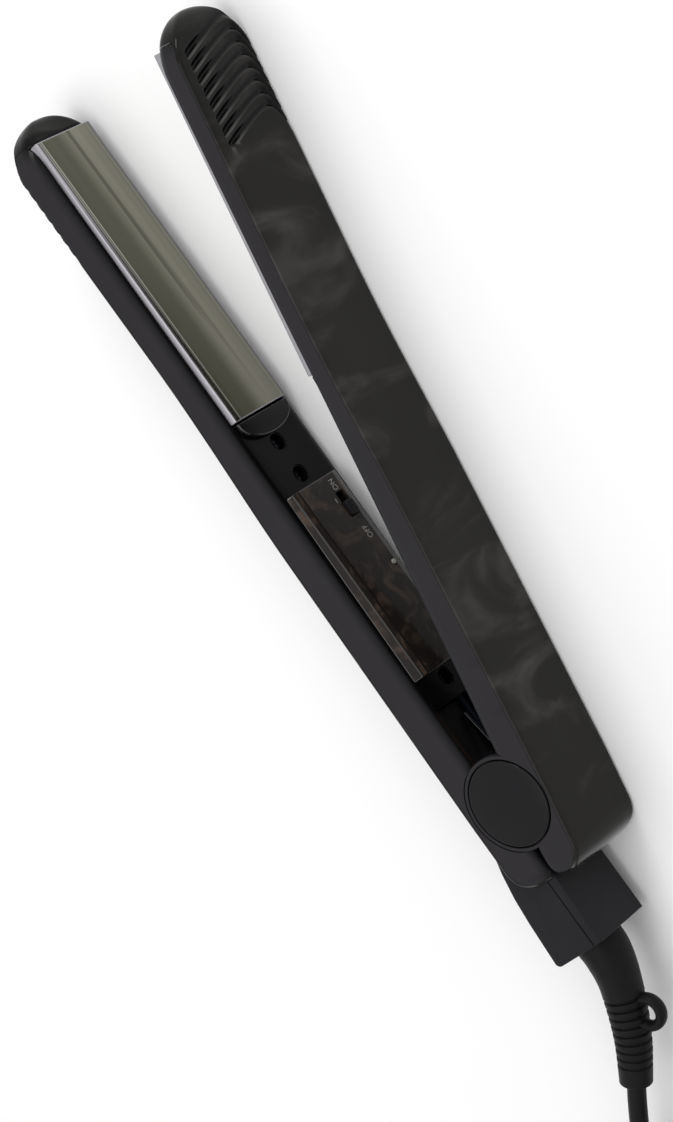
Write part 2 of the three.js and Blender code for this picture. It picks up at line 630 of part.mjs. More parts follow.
const alongRelief = (s) => reliefPath.getPointAt(Math.min(s / reliefLength, 1));
const reliefPoints = reliefStations.map(([s]) => alongRelief(s).toArray());
const reliefRadii = reliefStations.map(([s, share]) => reliefRadius(s) * share);
const loopRun = stubLength + neckLength + 2 * ribStep;
const loopAt = alongRelief(loopRun);
const loopLean = reliefPath.getTangentAt(loopRun / reliefLength);
const loopReach = 6.6;                  // from the relief's middle to the loop's
const loopRadius = 4.3;
const loopThick = 1.6;
const hangingLoop = new THREE.TorusGeometry(loopRadius, loopThick, 8, 20);
hangingLoop.translate(loopAt.x - loopReach * loopLean.y, loopAt.y + loopReach * loopLean.x, 0);
const reliefBody = solid(tube(reliefPoints, reliefRadii, 12));
armA.add(piece('strain_relief', join(reliefBody, solid(hangingLoop)), 'black'));

// The cord clamp in the tail block, and the two wires to the board.
const clampAt = -38.5;
const clampSide = tailHalf - tailWall - gap;
armA.add(piece('cord_clamp', cut(
  box(clampAt - 2, clampAt + 2, blockTop + gap, tailDrop - tailWall - 1.2, -clampSide, clampSide),
  bar('x', [reliefHeight, 0], -beyond, 0, reliefStub + gap, 20),
), 'black'));
for (const [name, side, paint] of [['live_wire', 1, 'live'], ['neutral_wire', -1, 'neutral']]) {
  armA.add(piece(name, lead([
    [-tailEnd + tailWall + 5.3, reliefHeight, side * 1.6], [-35, reliefHeight, side * 1.7],
    [-28, 13, side * 3.4], [-20, 10, side * 5.6], [-15, wireHeight, side * wireSide],
    [16, wireHeight, side * wireSide], [38, wireHeight, side * wireSide],
    [boardStart + 6, wireHeight + 0.3, side * wireSide],
  ], wireDiameter, 8, 4), paint));
}

// ---- Arm B -----------------------------------------------------------------------------------
const armB = new THREE.Group();
armB.rotation.x = Math.PI;
armB.position.y = axisOffset;
const swing = new THREE.Group();
swing.rotation.z = -openAngle;
swing.position.z = halfWidth;
swing.add(armB);

const axisB = [0, axisOffset];
// Behind the hinge arm B's rear ends short of arm A's, so that a slot is left while the iron is open.
const slotSpace = box(-beyond, 0, -beyond, rearSlot - rearInner - axisOffset, -beyond, beyond)
  .rotate([0, 0, -THREE.MathUtils.radToDeg(openAngle)]).translate([0, axisOffset, 0]);
// A disc between two distances from the arm's middle, on one side of it.
const sideDisc = (side, near, far, radius) => bar('z', axisB, Math.min(side * near, side * far),
  Math.max(side * near, side * far), radius, 48);
const cheeks = [1, -1].map((side) => ({
  disc: sideDisc(side, cheekInner, halfWidth, ringRadius),
  recess: sideDisc(side, pinHalf, halfWidth + 1, capRadius + gap),
}));
armB.add(piece('housing_b', cut(
  join(cut(armHousing(heelB), slotSpace), ...cheeks.map(({ disc }) => disc.intersect(trayBlock(heelB))),
    box(ribStart, ribStart + ribWidth, ribHeight, ribHeight + ribDepth, -cheekInner - 0.4, cheekInner + 0.4)),
  ...cheeks.map(({ recess }) => recess),
  bar('z', axisB, -halfWidth - 1, halfWidth + 1, pinRadius + gap, 20),
), 'grey'));
armB.add(piece('cover_b', cut(armCover(heelB), slotSpace), 'gloss'));
armB.add(piece('plate_b', plate(), 'titanium'));
armB.add(piece('heater_b', heater(), 'ceramic'));
armB.add(piece('heater_clamp_b', heaterClamp(), 'steel'));
armB.add(piece('plate_cap_b', plateCap(), 'black'));
screwPlaces.forEach((x, i) => armB.add(piece(`screw_b_${i + 1}`, screw(x, heelB), 'blued')));

// ---- The cord --------------------------------------------------------------------------------
// Its places are in the object's own frame: the hinge pin on the origin, the floor at zero.
const cord = new THREE.Group();
const cordRadius = cordDiameter / 2;
const floorRise = tieSheet + gap + cordRadius;
const exit = reliefPath.getPointAt(1).add(armA.position);
const heading = reliefPath.getTangentAt(1);
const headingAngle = Math.atan2(heading.y, heading.x);
const leadSteps = [
  [gap, halfWidth], [7, halfWidth], [17, 14.6], [28, 11], [39, 7], [49, 4.6],
  [57, floorRise], [63, floorRise],
];
const leadPoints = leadSteps.map(([along, height]) => [
  exit.x + along * heading.x, exit.y + along * heading.y, height,
]);
const leadGeometry = lead(leadPoints, cordDiameter, 8, 2.2 * cordDiameter);
cord.add(piece('cord_lead', leadGeometry, 'black'));

// The coil: flat spirals that run in, climb a layer in half a turn, and run out again.
const routeLength = (points) => points.slice(1).reduce((sum, point, i) => sum
  + Math.hypot(...point.map((value, k) => value - points[i][k])), 0);
// Degrees round the coil, distance out from it and drop from its top layer, down to the plug.
const tailSteps = [
  [20, 2.4, -0.6], [35, 7.5, -4.2], [50, 13, -9.6], [62, 16.4, -13.2], [73, 17.8, -14.5], [80, 18, -14.65],
];
const topRise = floorRise + (coilLayers - 1) * cordRise;
const meetLength = cordDiameter;                    // straight run at each end of the coil
const tailRun = 69.5;                               // along the tail, from the coil to the plug
const coilLength = cordLength - routeLength(leadPoints) - tailRun - 2 * meetLength;
const turns = coilLength / (2 * Math.PI * coilMean);
const turnsPerLayer = (turns - (coilLayers - 1) / 2) / coilLayers;
const coilOuter = coilMean + (cordPitch * turnsPerLayer) / 2;
const coilInner = coilMean - (cordPitch * turnsPerLayer) / 2;
const startAngle = headingAngle - Math.PI / 2;
const meet = leadPoints.at(-1).map((value, k) => value + [heading.x, heading.y, 0][k] * (gap + meetLength));
const coilCentre = [meet[0] - coilOuter * Math.cos(startAngle), meet[1] - coilOuter * Math.sin(startAngle)];
const onCoil = (turn, radius, height) => {
  const angle = startAngle + turn * 2 * Math.PI;
  return [coilCentre[0] + radius * Math.cos(angle), coilCentre[1] + radius * Math.sin(angle), height];
};
function coilPoint(turn) {
  const stage = turnsPerLayer + 0.5;
  const layer = Math.min(Math.floor(turn / stage), coilLayers - 1);
  const within = turn - layer * stage;
  const [from, to] = layer % 2 === 0 ? [coilOuter, coilInner] : [coilInner, coilOuter];
  const radius = THREE.MathUtils.lerp(from, to, Math.min(within / turnsPerLayer, 1));
  const climb = Math.max(within - turnsPerLayer, 0) / 0.5;
  return onCoil(turn, radius, floorRise + cordRise * (layer + (1 - Math.cos(Math.PI * climb)) / 2));
}
const coilSteps = Math.round(turns * 24);
const coilRoute = Array.from({ length: coilSteps + 1 }, (_, i) => coilPoint((i / coilSteps) * turns));
const endAngle = startAngle + turns * 2 * Math.PI;
const leave = [-Math.sin(endAngle), Math.cos(endAngle), 0];
const onward = (point, direction, distance) => point.map((value, k) => value + direction[k] * distance);
const coilPoints = [
  onward(coilRoute[0], [heading.x, heading.y, 0], -meetLength), ...coilRoute,
  onward(coilRoute.at(-1), leave, meetLength),
];
cord.add(piece('cord_coil', tube(coilPoints, coilPoints.map(() => cordRadius), 6), 'black'));

// The tail end of the cord runs down beside the coil into the plug.
const tailStart = onward(coilRoute.at(-1), leave, meetLength + gap);
const tailPoints = [tailStart, onward(tailStart, leave, 6), ...tailSteps.map(([degrees, outward, drop]) => {
  const angle = endAngle + THREE.MathUtils.degToRad(degrees);
  const radius = coilOuter + outward;
  return [coilCentre[0] + radius * Math.cos(angle), coilCentre[1] + radius * Math.sin(angle), topRise + drop];
})];
cord.add(piece('cord_tail', lead(tailPoints, cordDiameter, 8, 2.2 * cordDiameter), 'black'));

// A tie strap round the turns.
const tieAngle = startAngle + THREE.MathUtils.degToRad(80);
const tieIn = coilInner - cordRadius - 0.9;
const tieOut = coilOuter + cordRadius + 0.5;
const tieHigh = topRise + cordRadius + 0.5;
const tie = piece('coil_tie', cut(
  box(tieIn - tieSheet, tieOut + tieSheet, -tieWidth / 2, tieWidth / 2, 0, tieHigh + tieSheet),
  box(tieIn, tieOut, -tieWidth, tieWidth, tieSheet, tieHigh),
), 'black');
tie.rotation.z = tieAngle;
tie.position.set(coilCentre[0], coilCentre[1], 0);
cord.add(tie);

// The plug: a moulded body with a ribbed neck and two flat blades, lying on its side.
const plug = new THREE.Group();
const plugAngle = endAngle + THREE.MathUtils.degToRad(tailSteps.at(-1)[0]) + Math.PI / 2;
const plugHeight = 17;
const plugWidth = 24;
const plugLength = 34;
const neckEnd = 12;
const neckThick = 4;
const plugEnd = neckEnd + plugLength;
const bladeSize = [18, 1.5, 6.35];
const bladeSide = 6.35;        // half the space between the blades' middles
const bladeRoot = 0.75;        // how deep a blade stands in its slot
plug.position.set(tailPoints.at(-1)[0], tailPoints.at(-1)[1], 0);
plug.rotation.z = plugAngle;
const plugSide = new THREE.ExtrudeGeometry(outline([
  [neckEnd - 2, 3.5], [neckEnd + 7, 0], [plugEnd - 1, 0], [plugEnd, 1], [plugEnd, plugHeight - 1],
  [plugEnd - 1, plugHeight], [neckEnd + 7, plugHeight], [neckEnd - 2, plugHeight - 3.5],
]), { depth: plugWidth, bevelEnabled: false }).rotateX(Math.PI / 2).translate(0, plugWidth / 2, 0);
const plugPlan = new THREE.ExtrudeGeometry(outline([
  [neckEnd - 2, -5], [neckEnd + 8, -plugWidth / 2], [plugEnd - 1.5, -plugWidth / 2],
  [plugEnd, 1.5 - plugWidth / 2], [plugEnd, plugWidth / 2 - 1.5],
  [plugEnd - 1.5, plugWidth / 2], [neckEnd + 8, plugWidth / 2], [neckEnd - 2, 5],
]), { depth: plugHeight, bevelEnabled: false });
const neckBar = (from, to, radius) => solid(new THREE.CylinderGeometry(radius, radius, to - from, 16)
  .rotateZ(Math.PI / 2).translate((from + to) / 2, 0, plugHeight / 2));
const neckRibs = [1.2, 4, 6.8].map((at) => neckBar(at, at + 1.6, neckThick + 1));
const slotSize = [2 * bladeRoot, bladeSize[1], bladeSize[2]].map((size) => size + 2 * gap);
const bladeSlot = (side) => new THREE.BoxGeometry(...slotSize)
  .translate(plugEnd, side * bladeSide, plugHeight / 2);
plug.add(piece('plug_body', cut(
  join(solid(plugSide).intersect(solid(plugPlan)), neckBar(gap, neckEnd, neckThick), ...neckRibs),
  solid(bladeSlot(1)), solid(bladeSlot(-1)),
), 'black'));
[1, -1].forEach((side, i) => {
  const blade = new THREE.BoxGeometry(...bladeSize);
  const middle = plugEnd - bladeRoot + bladeSize[0] / 2;
  plug.add(piece(`plug_blade_${i + 1}`, blade.translate(middle, side * bladeSide, plugHeight / 2), 'brass'));
});
cord.add(plug);

const iron = new THREE.Group();
iron.name = 'flat_iron';
iron.add(armA, swing, cord);

export default iron;
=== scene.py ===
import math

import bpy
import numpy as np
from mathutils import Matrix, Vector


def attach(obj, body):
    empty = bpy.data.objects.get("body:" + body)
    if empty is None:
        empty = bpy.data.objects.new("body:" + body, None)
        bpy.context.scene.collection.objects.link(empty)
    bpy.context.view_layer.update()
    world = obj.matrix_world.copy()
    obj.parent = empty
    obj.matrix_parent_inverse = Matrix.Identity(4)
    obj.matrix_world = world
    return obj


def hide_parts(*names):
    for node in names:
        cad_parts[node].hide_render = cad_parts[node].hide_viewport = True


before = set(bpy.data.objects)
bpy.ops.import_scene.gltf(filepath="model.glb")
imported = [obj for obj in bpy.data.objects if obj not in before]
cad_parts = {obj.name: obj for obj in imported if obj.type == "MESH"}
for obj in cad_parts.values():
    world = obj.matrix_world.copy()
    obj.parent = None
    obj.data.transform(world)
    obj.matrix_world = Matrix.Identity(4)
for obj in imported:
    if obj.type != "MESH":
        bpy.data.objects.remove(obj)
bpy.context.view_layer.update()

# %% [markdown]
# # A flat iron, open on its side
# The engineering model already holds every piece at its place. This lesson gives the pieces that show
# their real surfaces: two slim moulded arms, coated plates, a ribbed strain relief and a coiled cord.
# Each arm is drawn in its own frame, in millimetres: x runs from the hinge to the tip, y goes out from
# the plane where the plates meet, and z goes across the arm. One matrix per arm then sets it in place.

MM = 0.001
print("solids in the model:", len(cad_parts))

# %% [markdown]
# ## Camera
# The photograph was taken from the front and above, with the iron running up the picture. A camera
# fitted to the corners of both plates gives the place, the direction and the lens. It could be turned
# with Euler angles, but three directions at right angles are easier to check.

# %% The camera, from its place and two directions
CAMERA_PLACE = (0.0379, -0.6682, 0.7827)
CAMERA_AHEAD, CAMERA_UP = (0.043, 0.663, -0.747), (0.808, -0.463, -0.360)
SENSOR_MM, LENS_MM, NEAREST = 36, 118.3, 0.05


def add_object(name, data):
    thing = bpy.data.objects.new(name, data)
    bpy.context.scene.collection.objects.link(thing)
    return thing


def make_camera(place, ahead, up):
    """Looks ahead from a place. The sensor's width lies along the picture's long side."""
    data = bpy.data.cameras.new("camera")
    data.lens, data.sensor_width, data.clip_start = LENS_MM, SENSOR_MM, NEAREST
    camera = add_object("camera", data)
    back = -Vector(ahead).normalized()
    right = Vector(up).cross(back).normalized()
    turn = Matrix((right, back.cross(right), back)).transposed()
    camera.matrix_world = Matrix.Translation(place) @ turn.to_4x4()
    bpy.context.scene.camera = camera
    return camera


camera = make_camera(CAMERA_PLACE, CAMERA_AHEAD, CAMERA_UP)
print("camera distance in metres:", round(camera.matrix_world.translation.length, 3))

# %% [markdown]
# ## Meshes from arrays
# Every surface here is a grid of points worked out with numpy: a closed ring carried along a path. The
# faces follow from the grid's row and column numbers, so no loop runs over single points.

# %% From rings of points to a closed solid
def mesh_object(name, points, faces):
    """A mesh from points in millimetres and faces that list their point numbers."""
    mesh = bpy.data.meshes.new(name)
    mesh.from_pydata(np.asarray(points, float).reshape(-1, 3) * MM, [], faces)
    mesh.update()
    return add_object(name, mesh)


def read_all(items, name, width, kind=float):
    """One property of all points or faces, as an array with a row for each."""
    flat = np.empty(len(items) * width, kind)
    items.foreach_get(name, flat)
    return flat.reshape(-1, width)


def outward(thing):
    """Faces look out when the solid's signed volume, a sum of triple products, is above zero."""
    mesh = thing.data
    mesh.calc_loop_triangles()
    corners = read_all(mesh.loop_triangles, "vertices", 3, int)
    a, b, c = read_all(mesh.vertices, "co", 3)[corners].transpose(1, 0, 2)
    if np.einsum("ij,ij->", a, np.cross(b, c)) < 0:
        mesh.flip_normals()
    return thing


def skin(name, rings, hoop=False):
    """Joins each ring of points to the next. A hoop joins the last to the first, a bar gets flat ends."""
    count, around = rings.shape[:2]
    row, column = np.meshgrid(np.arange(count if hoop else count - 1), np.arange(around), indexing="ij")
    ahead, beside = (row + 1) % count, (column + 1) % around
    corners = [(row, column), (ahead, column), (ahead, beside), (row, beside)]
    faces = np.stack([line * around + place for line, place in corners], -1).reshape(-1, 4).tolist()
    if not hoop:
        first = np.arange(around)
        faces += [first.tolist(), (count * around - 1 - first).tolist()]
    return outward(mesh_object(name, rings, faces))


print("grids of rings become closed solids")

# %% [markdown]
# ## Simple solids, and cutting one with another
# Holes, bosses and seams come from plain prisms and rods that are joined to a form or cut out of it.
# They could be modelled into the mesh by hand. The Boolean modifier's manifold solver does the same in
# milliseconds and keeps every solid closed. A Bevel modifier then rounds what a mould would round.

# %% Prisms and rods
def prism(points, low, high, axis):
    """An outline carried from low to high along an axis of the arm."""
    outline = np.broadcast_to(np.asarray(points, float), (2, len(points), 2))
    level = np.broadcast_to(np.array([low, high], float)[:, None, None], (2, len(points), 1))
    order = {"z": (0, 1, 2), "y": (0, 2, 1), "x": (2, 0, 1)}[axis]
    return skin("prism", np.concatenate([outline, level], -1)[..., order])


def mirrored(edge):
    """Half an outline: first its mirror image, then itself backwards."""
    return np.concatenate([np.asarray(edge, float) * (1, -1), edge[::-1]])


def block(x0, x1, y0, y1, z0, z1):
    return prism([(x0, y0), (x1, y0), (x1, y1), (x0, y1)], z0, z1, "z")


def rod(axis, centre, low, high, radius, sides=48):
    """A circle, centre plus radius times cosine and sine, carried along an axis."""
    turn = np.linspace(0, 2 * math.pi, sides, endpoint=False)
    circle = np.stack([centre[0] + radius * np.cos(turn), centre[1] + radius * np.sin(turn)], 1)
    return prism(circle, low, high, axis)


print("an outline from half of it has points:", len(mirrored([(0, 1), (1, 1)])))


# %% Joining, cutting and rounding
def apply_modifiers(thing):
    made = thing.evaluated_get(bpy.context.evaluated_depsgraph_get())
    mesh = bpy.data.meshes.new_from_object(made)
    thing.modifiers.clear()
    thing.data = mesh
    return thing


def combine(thing, *steps):
    """Joins or cuts other solids, in order, and removes them from the scene."""
    for operation, other in steps:
        modifier = thing.modifiers.new(operation, "BOOLEAN")
        modifier.operation, modifier.solver, modifier.object = operation, "MANIFOLD", other
    apply_modifiers(thing)
    for other in {step[1] for step in steps}:
        bpy.data.objects.remove(other)
    return thing


def less(*others):
    return [("DIFFERENCE", other) for other in others]


def plus(*others):
    return [("UNION", other) for other in others]


def overlap(thing, other):
    return combine(thing, ("INTERSECT", other))


def two_finishes(thing):
    """Empty places, so that a face can take the first or the second finish."""
    for _ in range(2):
        thing.data.materials.append(None)


def soften(thing, width, segments=3, angle=35, second=False):
    """Rounds every edge that is sharper than an angle, to a width in millimetres. The rounded strips can
    take the second finish."""
    if second:
        two_finishes(thing)
    modifier = thing.modifiers.new("soften", "BEVEL")
    modifier.width, modifier.segments = width * MM, segments
    modifier.limit_method, modifier.angle_limit = "ANGLE", math.radians(angle)
    modifier.material = 1 if second else -1
    return apply_modifiers(thing)


def smooth(thing, angle=32):
    thing.data.shade_smooth()
    thing.data.set_sharp_from_angle(angle=math.radians(angle))
    return thing


print("tools for cutting and rounding are ready")

# %% [markdown]
# ## Nodes for the finishes
# Colours are written as they look on a screen, and one function turns them into the linear light that
# a renderer adds up. One small function adds any node with its settings and its links.

# %% Colours, nodes and links
def colour(text):
    """The sRGB curve: a straight line near black, and a power of 2.4 above it."""
    value = np.array([int(text[i:i + 2], 16) for i in (1, 3, 5)]) / 255
    return (*np.where(value <= 0.04045, value / 12.92, ((value + 0.055) / 1.055) ** 2.4), 1.0)


def add(tree, kind, out=None, **settings):
    """Adds a node and gives back one output. A setting is a property of the node or else an input, and
    another node's output is linked to it."""
    node = tree.nodes.new("ShaderNode" + kind)
    for name, value in settings.items():
        if hasattr(node, name):
            setattr(node, name, value)
            continue
        title = name.replace("_", " ")
        socket = next(socket for socket in node.inputs if socket.name == title and socket.enabled)
        if isinstance(value, bpy.types.NodeSocket):
            tree.links.new(value, socket)
        else:
            socket.default_value = value
    return node.outputs[out] if out else next(socket for socket in node.outputs if socket.enabled)


def new_finish(name, **sockets):
    """A material with one shader, and the coordinates of the piece it is on, in metres."""
    material = bpy.data.materials.new(name)
    material.use_nodes = True
    tree = material.node_tree
    for socket, value in sockets.items():
        tree.nodes["Principled BSDF"].inputs[socket.replace("_", " ")].default_value = value
    return material, tree, add(tree, "TexCoord", out="Object")


def wired(material, **outputs):
    """The material, with outputs linked to its shader's inputs."""
    tree = material.node_tree
    for socket, output in outputs.items():
        tree.links.new(output, tree.nodes["Principled BSDF"].inputs[socket.replace("_", " ")])
    return material


def per(size_mm):
    """How many pattern sizes of this length go into a metre."""
    return 1000 / size_mm


print("a mid grey in linear light:", round(float(colour("#808080")[0]), 3))

# %% [markdown]
# ## Moulded plastics, rubber and small metal
# Most pieces are ABS or a soft rubber, moulded in a tool whose wall was spark-eroded or polished. The
# tool's fine pits show as a slightly uneven sheen. One function draws that for a colour, a grain and a
# depth. The pits are really 0.05 mm wide, and are drawn a few times coarser so that they show.

# %% One function for a moulded or rolled surface
CLOUD_MM, SHEEN_SWING = 14, 0.05


def pits(tree, place, grain_mm, depth_mm):
    """Fine noise as bump."""
    height = add(tree, "TexNoise", Scale=per(grain_mm), Detail=2.0, Vector=place)
    return add(tree, "Bump", Distance=depth_mm * MM, Height=height)


def moulded(name, dark, light, roughness, grain_mm, depth_mm, **sockets):
    """Two near tones in slow clouds, a sheen that varies by a tenth, and fine pits as bump."""
    material, tree, place = new_finish(name, Base_Color=colour(dark), Roughness=roughness, **sockets)
    clouds = add(tree, "TexNoise", Scale=per(CLOUD_MM), Detail=3.0, Vector=place)
    tone = add(tree, "Mix", data_type="RGBA", A=colour(dark), B=colour(light), Factor=clouds)
    sheen = add(tree, "MapRange", To_Min=roughness - SHEEN_SWING, To_Max=roughness + SHEEN_SWING,
                Value=clouds)
    return wired(material, Base_Color=tone, Roughness=sheen, Normal=pits(tree, place, grain_mm, depth_mm))


print("a grain of 0.3 mm repeats so often in a metre:", round(per(0.3)))

# %% The plain finishes
# ABS from a spark-eroded tool: near black, with a soft sheen.
BLACK_ABS = moulded("black_abs_eroded", "#1a191c", "#212023", 0.42, 0.3, 0.006, Specular_IOR_Level=0.1)
# ABS from a lapped tool, on the hinge discs: the same black, with a clear gloss.
GLOSSY_ABS = moulded("black_abs_lapped", "#131315", "#19191b", 0.16, 0.3, 0.002, Specular_IOR_Level=0.12)
# PVC of cord and strain relief: greyer, with hardly any gloss.
CORD_PVC = moulded("black_pvc_soft", "#0e0e0f", "#151516", 0.45, 0.4, 0.012, Specular_IOR_Level=0.1)
# Black-oxide steel of screws and spring: dark, with a dull metal shine.
BLUED_STEEL = moulded("black_oxide_steel", "#3a3a3f", "#4c4c52", 0.35, 0.5, 0.004, Metallic=1.0)
# Rolled steel of clamps, pin and switch frame: bright, with a soft shine.
ROLLED_STEEL = moulded("rolled_steel", "#9c9c9e", "#b0b0b2", 0.3, 0.6, 0.004, Metallic=1.0)
# Sintered alumina of the heating strips: chalky white.
ALUMINA = moulded("sintered_alumina", "#d2ccbe", "#e0dbd0", 0.7, 0.5, 0.02)
# Pressed paper and resin of the board: brown, a little shiny.
BOARD = moulded("phenolic_paper_board", "#74552a", "#86653a", 0.5, 1.0, 0.01)
# Drawn aluminium of the fuse's can.
DRAWN_CAN = moulded("drawn_aluminium", "#aeb0b2", "#bcbec0", 0.35, 0.6, 0.004, Metallic=1.0)
# Silicone insulation of both wires: very dark brown, and very dark blue.
BROWN_SILICONE = moulded("brown_silicone", "#1f1510", "#2a1c15", 0.5, 0.5, 0.01, Specular_IOR_Level=0.1)
BLUE_SILICONE = moulded("blue_silicone", "#0f1620", "#16202d", 0.5, 0.5, 0.01, Specular_IOR_Level=0.1)
# Stamped brass of the plug's blades.
BRASS = moulded("stamped_brass", "#a88c4a", "#bfa563", 0.25, 0.8, 0.004, Metallic=1.0)
# Moulded milky acrylic over the lamp: pale and shiny.
LAMP_ACRYLIC = moulded("milky_acrylic", "#8f8b84", "#a39f97", 0.15, 0.8, 0.004)
# Pad-printed ink on the panel: light grey, flat.
PRINT_INK = moulded("pad_printed_ink", "#8e8b88", "#9c9996", 0.5, 0.3, 0.004)
# Bare aluminium where a plate's sheet is folded or cut.
BARE_EDGE = moulded("bright_sheet_edge", "#8f8d92", "#a19fa4", 0.3, 0.6, 0.003, Metallic=1.0)
# Buffed rounded edges of the polished mouldings, which draw thin light lines.
BUFFED_EDGE = moulded("black_abs_buffed_edge", "#1c1a19", "#262321", 0.12, 0.6, 0.001, Specular_IOR_Level=0.7)
print("finishes so far:", len(bpy.data.materials))

# %% [markdown]
# ## Tray plastic: matt flanks, polished face
# Each arm's tray is one moulding of dark grey ABS. Its flat flanks are matt, and the face round the plate
# comes from a polished part of the tool. The flanks look lighter because they catch the light from above,
# and that light is painted into their tone; the face's near black is painted for the dark it reflects.
# The change follows the distance from the arm's middle, so it's read from the z coordinate.

# %% Tray plastic
HALF_WIDTH = 15.5


def from_middle(tree, place):
    """The size of z less half the width, in metres: the distance from the arm's middle."""
    height = add(tree, "SeparateXYZ", out="Z", Vector=place)
    shifted = add(tree, "Math", operation="SUBTRACT", Value=height)
    shifted.node.inputs[1].default_value = HALF_WIDTH * MM
    return add(tree, "Math", operation="ABSOLUTE", Value=shifted)


def tray_plastic():
    """The distance from the middle goes from polished black to a rough grey between two values. The grey is
    painted lighter for the light from above, the black is painted for the dark the polished face reflects.
    """
    material, tree, place = new_finish("grey_abs_two_sheens_painted_light", Specular_IOR_Level=0.1)
    flank = add(tree, "MapRange", interpolation_type="SMOOTHSTEP", From_Min=12.2 * MM, From_Max=15.2 * MM,
                Value=from_middle(tree, place))
    clouds = add(tree, "TexNoise", Scale=per(18), Detail=3.0, Vector=place)
    # Painted light: the flanks' grey stands for the light from above, the face's black for the dark it
    # reflects.
    painted_light_flank_tone = add(tree, "Mix", data_type="RGBA", A=colour("#252326"), B=colour("#2b292c"), Factor=clouds)
    tone = add(tree, "Mix", data_type="RGBA", A=colour("#0b0b0c"), B=painted_light_flank_tone, Factor=flank)
    sheen = add(tree, "MapRange", To_Min=0.2, To_Max=0.5, Value=flank)
    return wired(material, Base_Color=tone, Roughness=sheen, Normal=pits(tree, place, 0.3, 0.005))


# ABS from one tool with two finishes: matt flanks painted a lighter grey for the light from above, and a
# polished face painted black.
TRAY = tray_plastic()
print("tray finish:", TRAY.name)

# %% [markdown]
# ## Cover lacquer
# The outer covers are ABS with a smoky decor under clear lacquer: brown-black, with pale wisps that run
# across the arm about every 20 mm. The wisps are a warped noise, squeezed along the arm. The lacquer is
# the shader's coat, polished brightest round the rear. Painted shade darkens the grip grooves and the cover
# toward the tip and over the nose, and a painted highlight lightens the hinge side of each groove.
# The mesh carries three attributes that say where those are.

# %% Cover lacquer
def smoky_lacquer():
    """Two warped noises: a wide one moves the ground tone, a finer one lays the wisps over it. The
    attribute groove then lays painted shade over it, a second attribute lays a painted highlight on the
    groove edges, and polish strengthens the coat."""
    material, tree, place = new_finish(
        "smoky_lacquered_abs", Specular_IOR_Level=0.02, Coat_IOR=1.5, Coat_Roughness=0.06)
    squeezed = add(tree, "Mapping", Scale=(1.0, 0.55, 0.45), Vector=place)
    wisps = add(tree, "TexNoise", Scale=per(17), Detail=5.0, Distortion=0.9, Vector=squeezed)
    smoke = add(tree, "MapRange", interpolation_type="SMOOTHSTEP", From_Min=0.5, From_Max=0.8, Value=wisps)
    wide = add(tree, "TexNoise", Scale=per(45), Detail=2.0, Vector=squeezed)
    tone = add(tree, "Mix", data_type="RGBA", A=colour("#171614"), B=colour("#22211f"), Factor=wide)
    groove, painted_lip_highlight, polish = [
        add(tree, "Attribute", out="Fac", attribute_name=name) for name in ("groove", "painted_lip_highlight", "polish")]
    # The wisps are decor; #020202 is painted shade in the grooves, #63625f a painted highlight on their
    # edges.
    for over, share in (("#454340", smoke), ("#020202", groove), ("#63625f", painted_lip_highlight)):
        tone = add(tree, "Mix", data_type="RGBA", A=tone, B=colour(over), Factor=share)
    sheen = add(tree, "MapRange", To_Min=0.18, To_Max=0.3, Value=wide)
    coat = add(tree, "MapRange", To_Min=0.22, To_Max=1.0, Value=polish)
    return wired(material, Base_Color=tone, Roughness=sheen, Coat_Weight=coat)


# Lacquered ABS with a smoky decor, for both covers.
LACQUER = smoky_lacquer()
print("cover finish:", LACQUER.name)

# %% [markdown]
# ## Titanium coating and polished black
# The plates are aluminium with a titanium coating, polished along their length, so faint streaks a few
# millimetres wide run from end to end. Over them the face is painted with the reflections it shows: darker
# toward one side, fine dark lines, and thin light and dark bands along the folds. The panel is black ABS
# from a mirror-polished tool, with slow brown clouds painted in as a warm reflection.

# %% Titanium coating
# Stripes across each fold: painted reflections, light and dark, of the rounded edge.
FOLD_REFLECTION_BANDS = ((0.14, "#a3a299"), (0.3, "#4b4a43"), (0.46, "#96958d"), (0.6, "#2b292b"), (0.8, "#a5a3a7"))
FOLD_REFLECTION_START, FOLD_REFLECTION_END = "#66655a", "#b4b2b6"


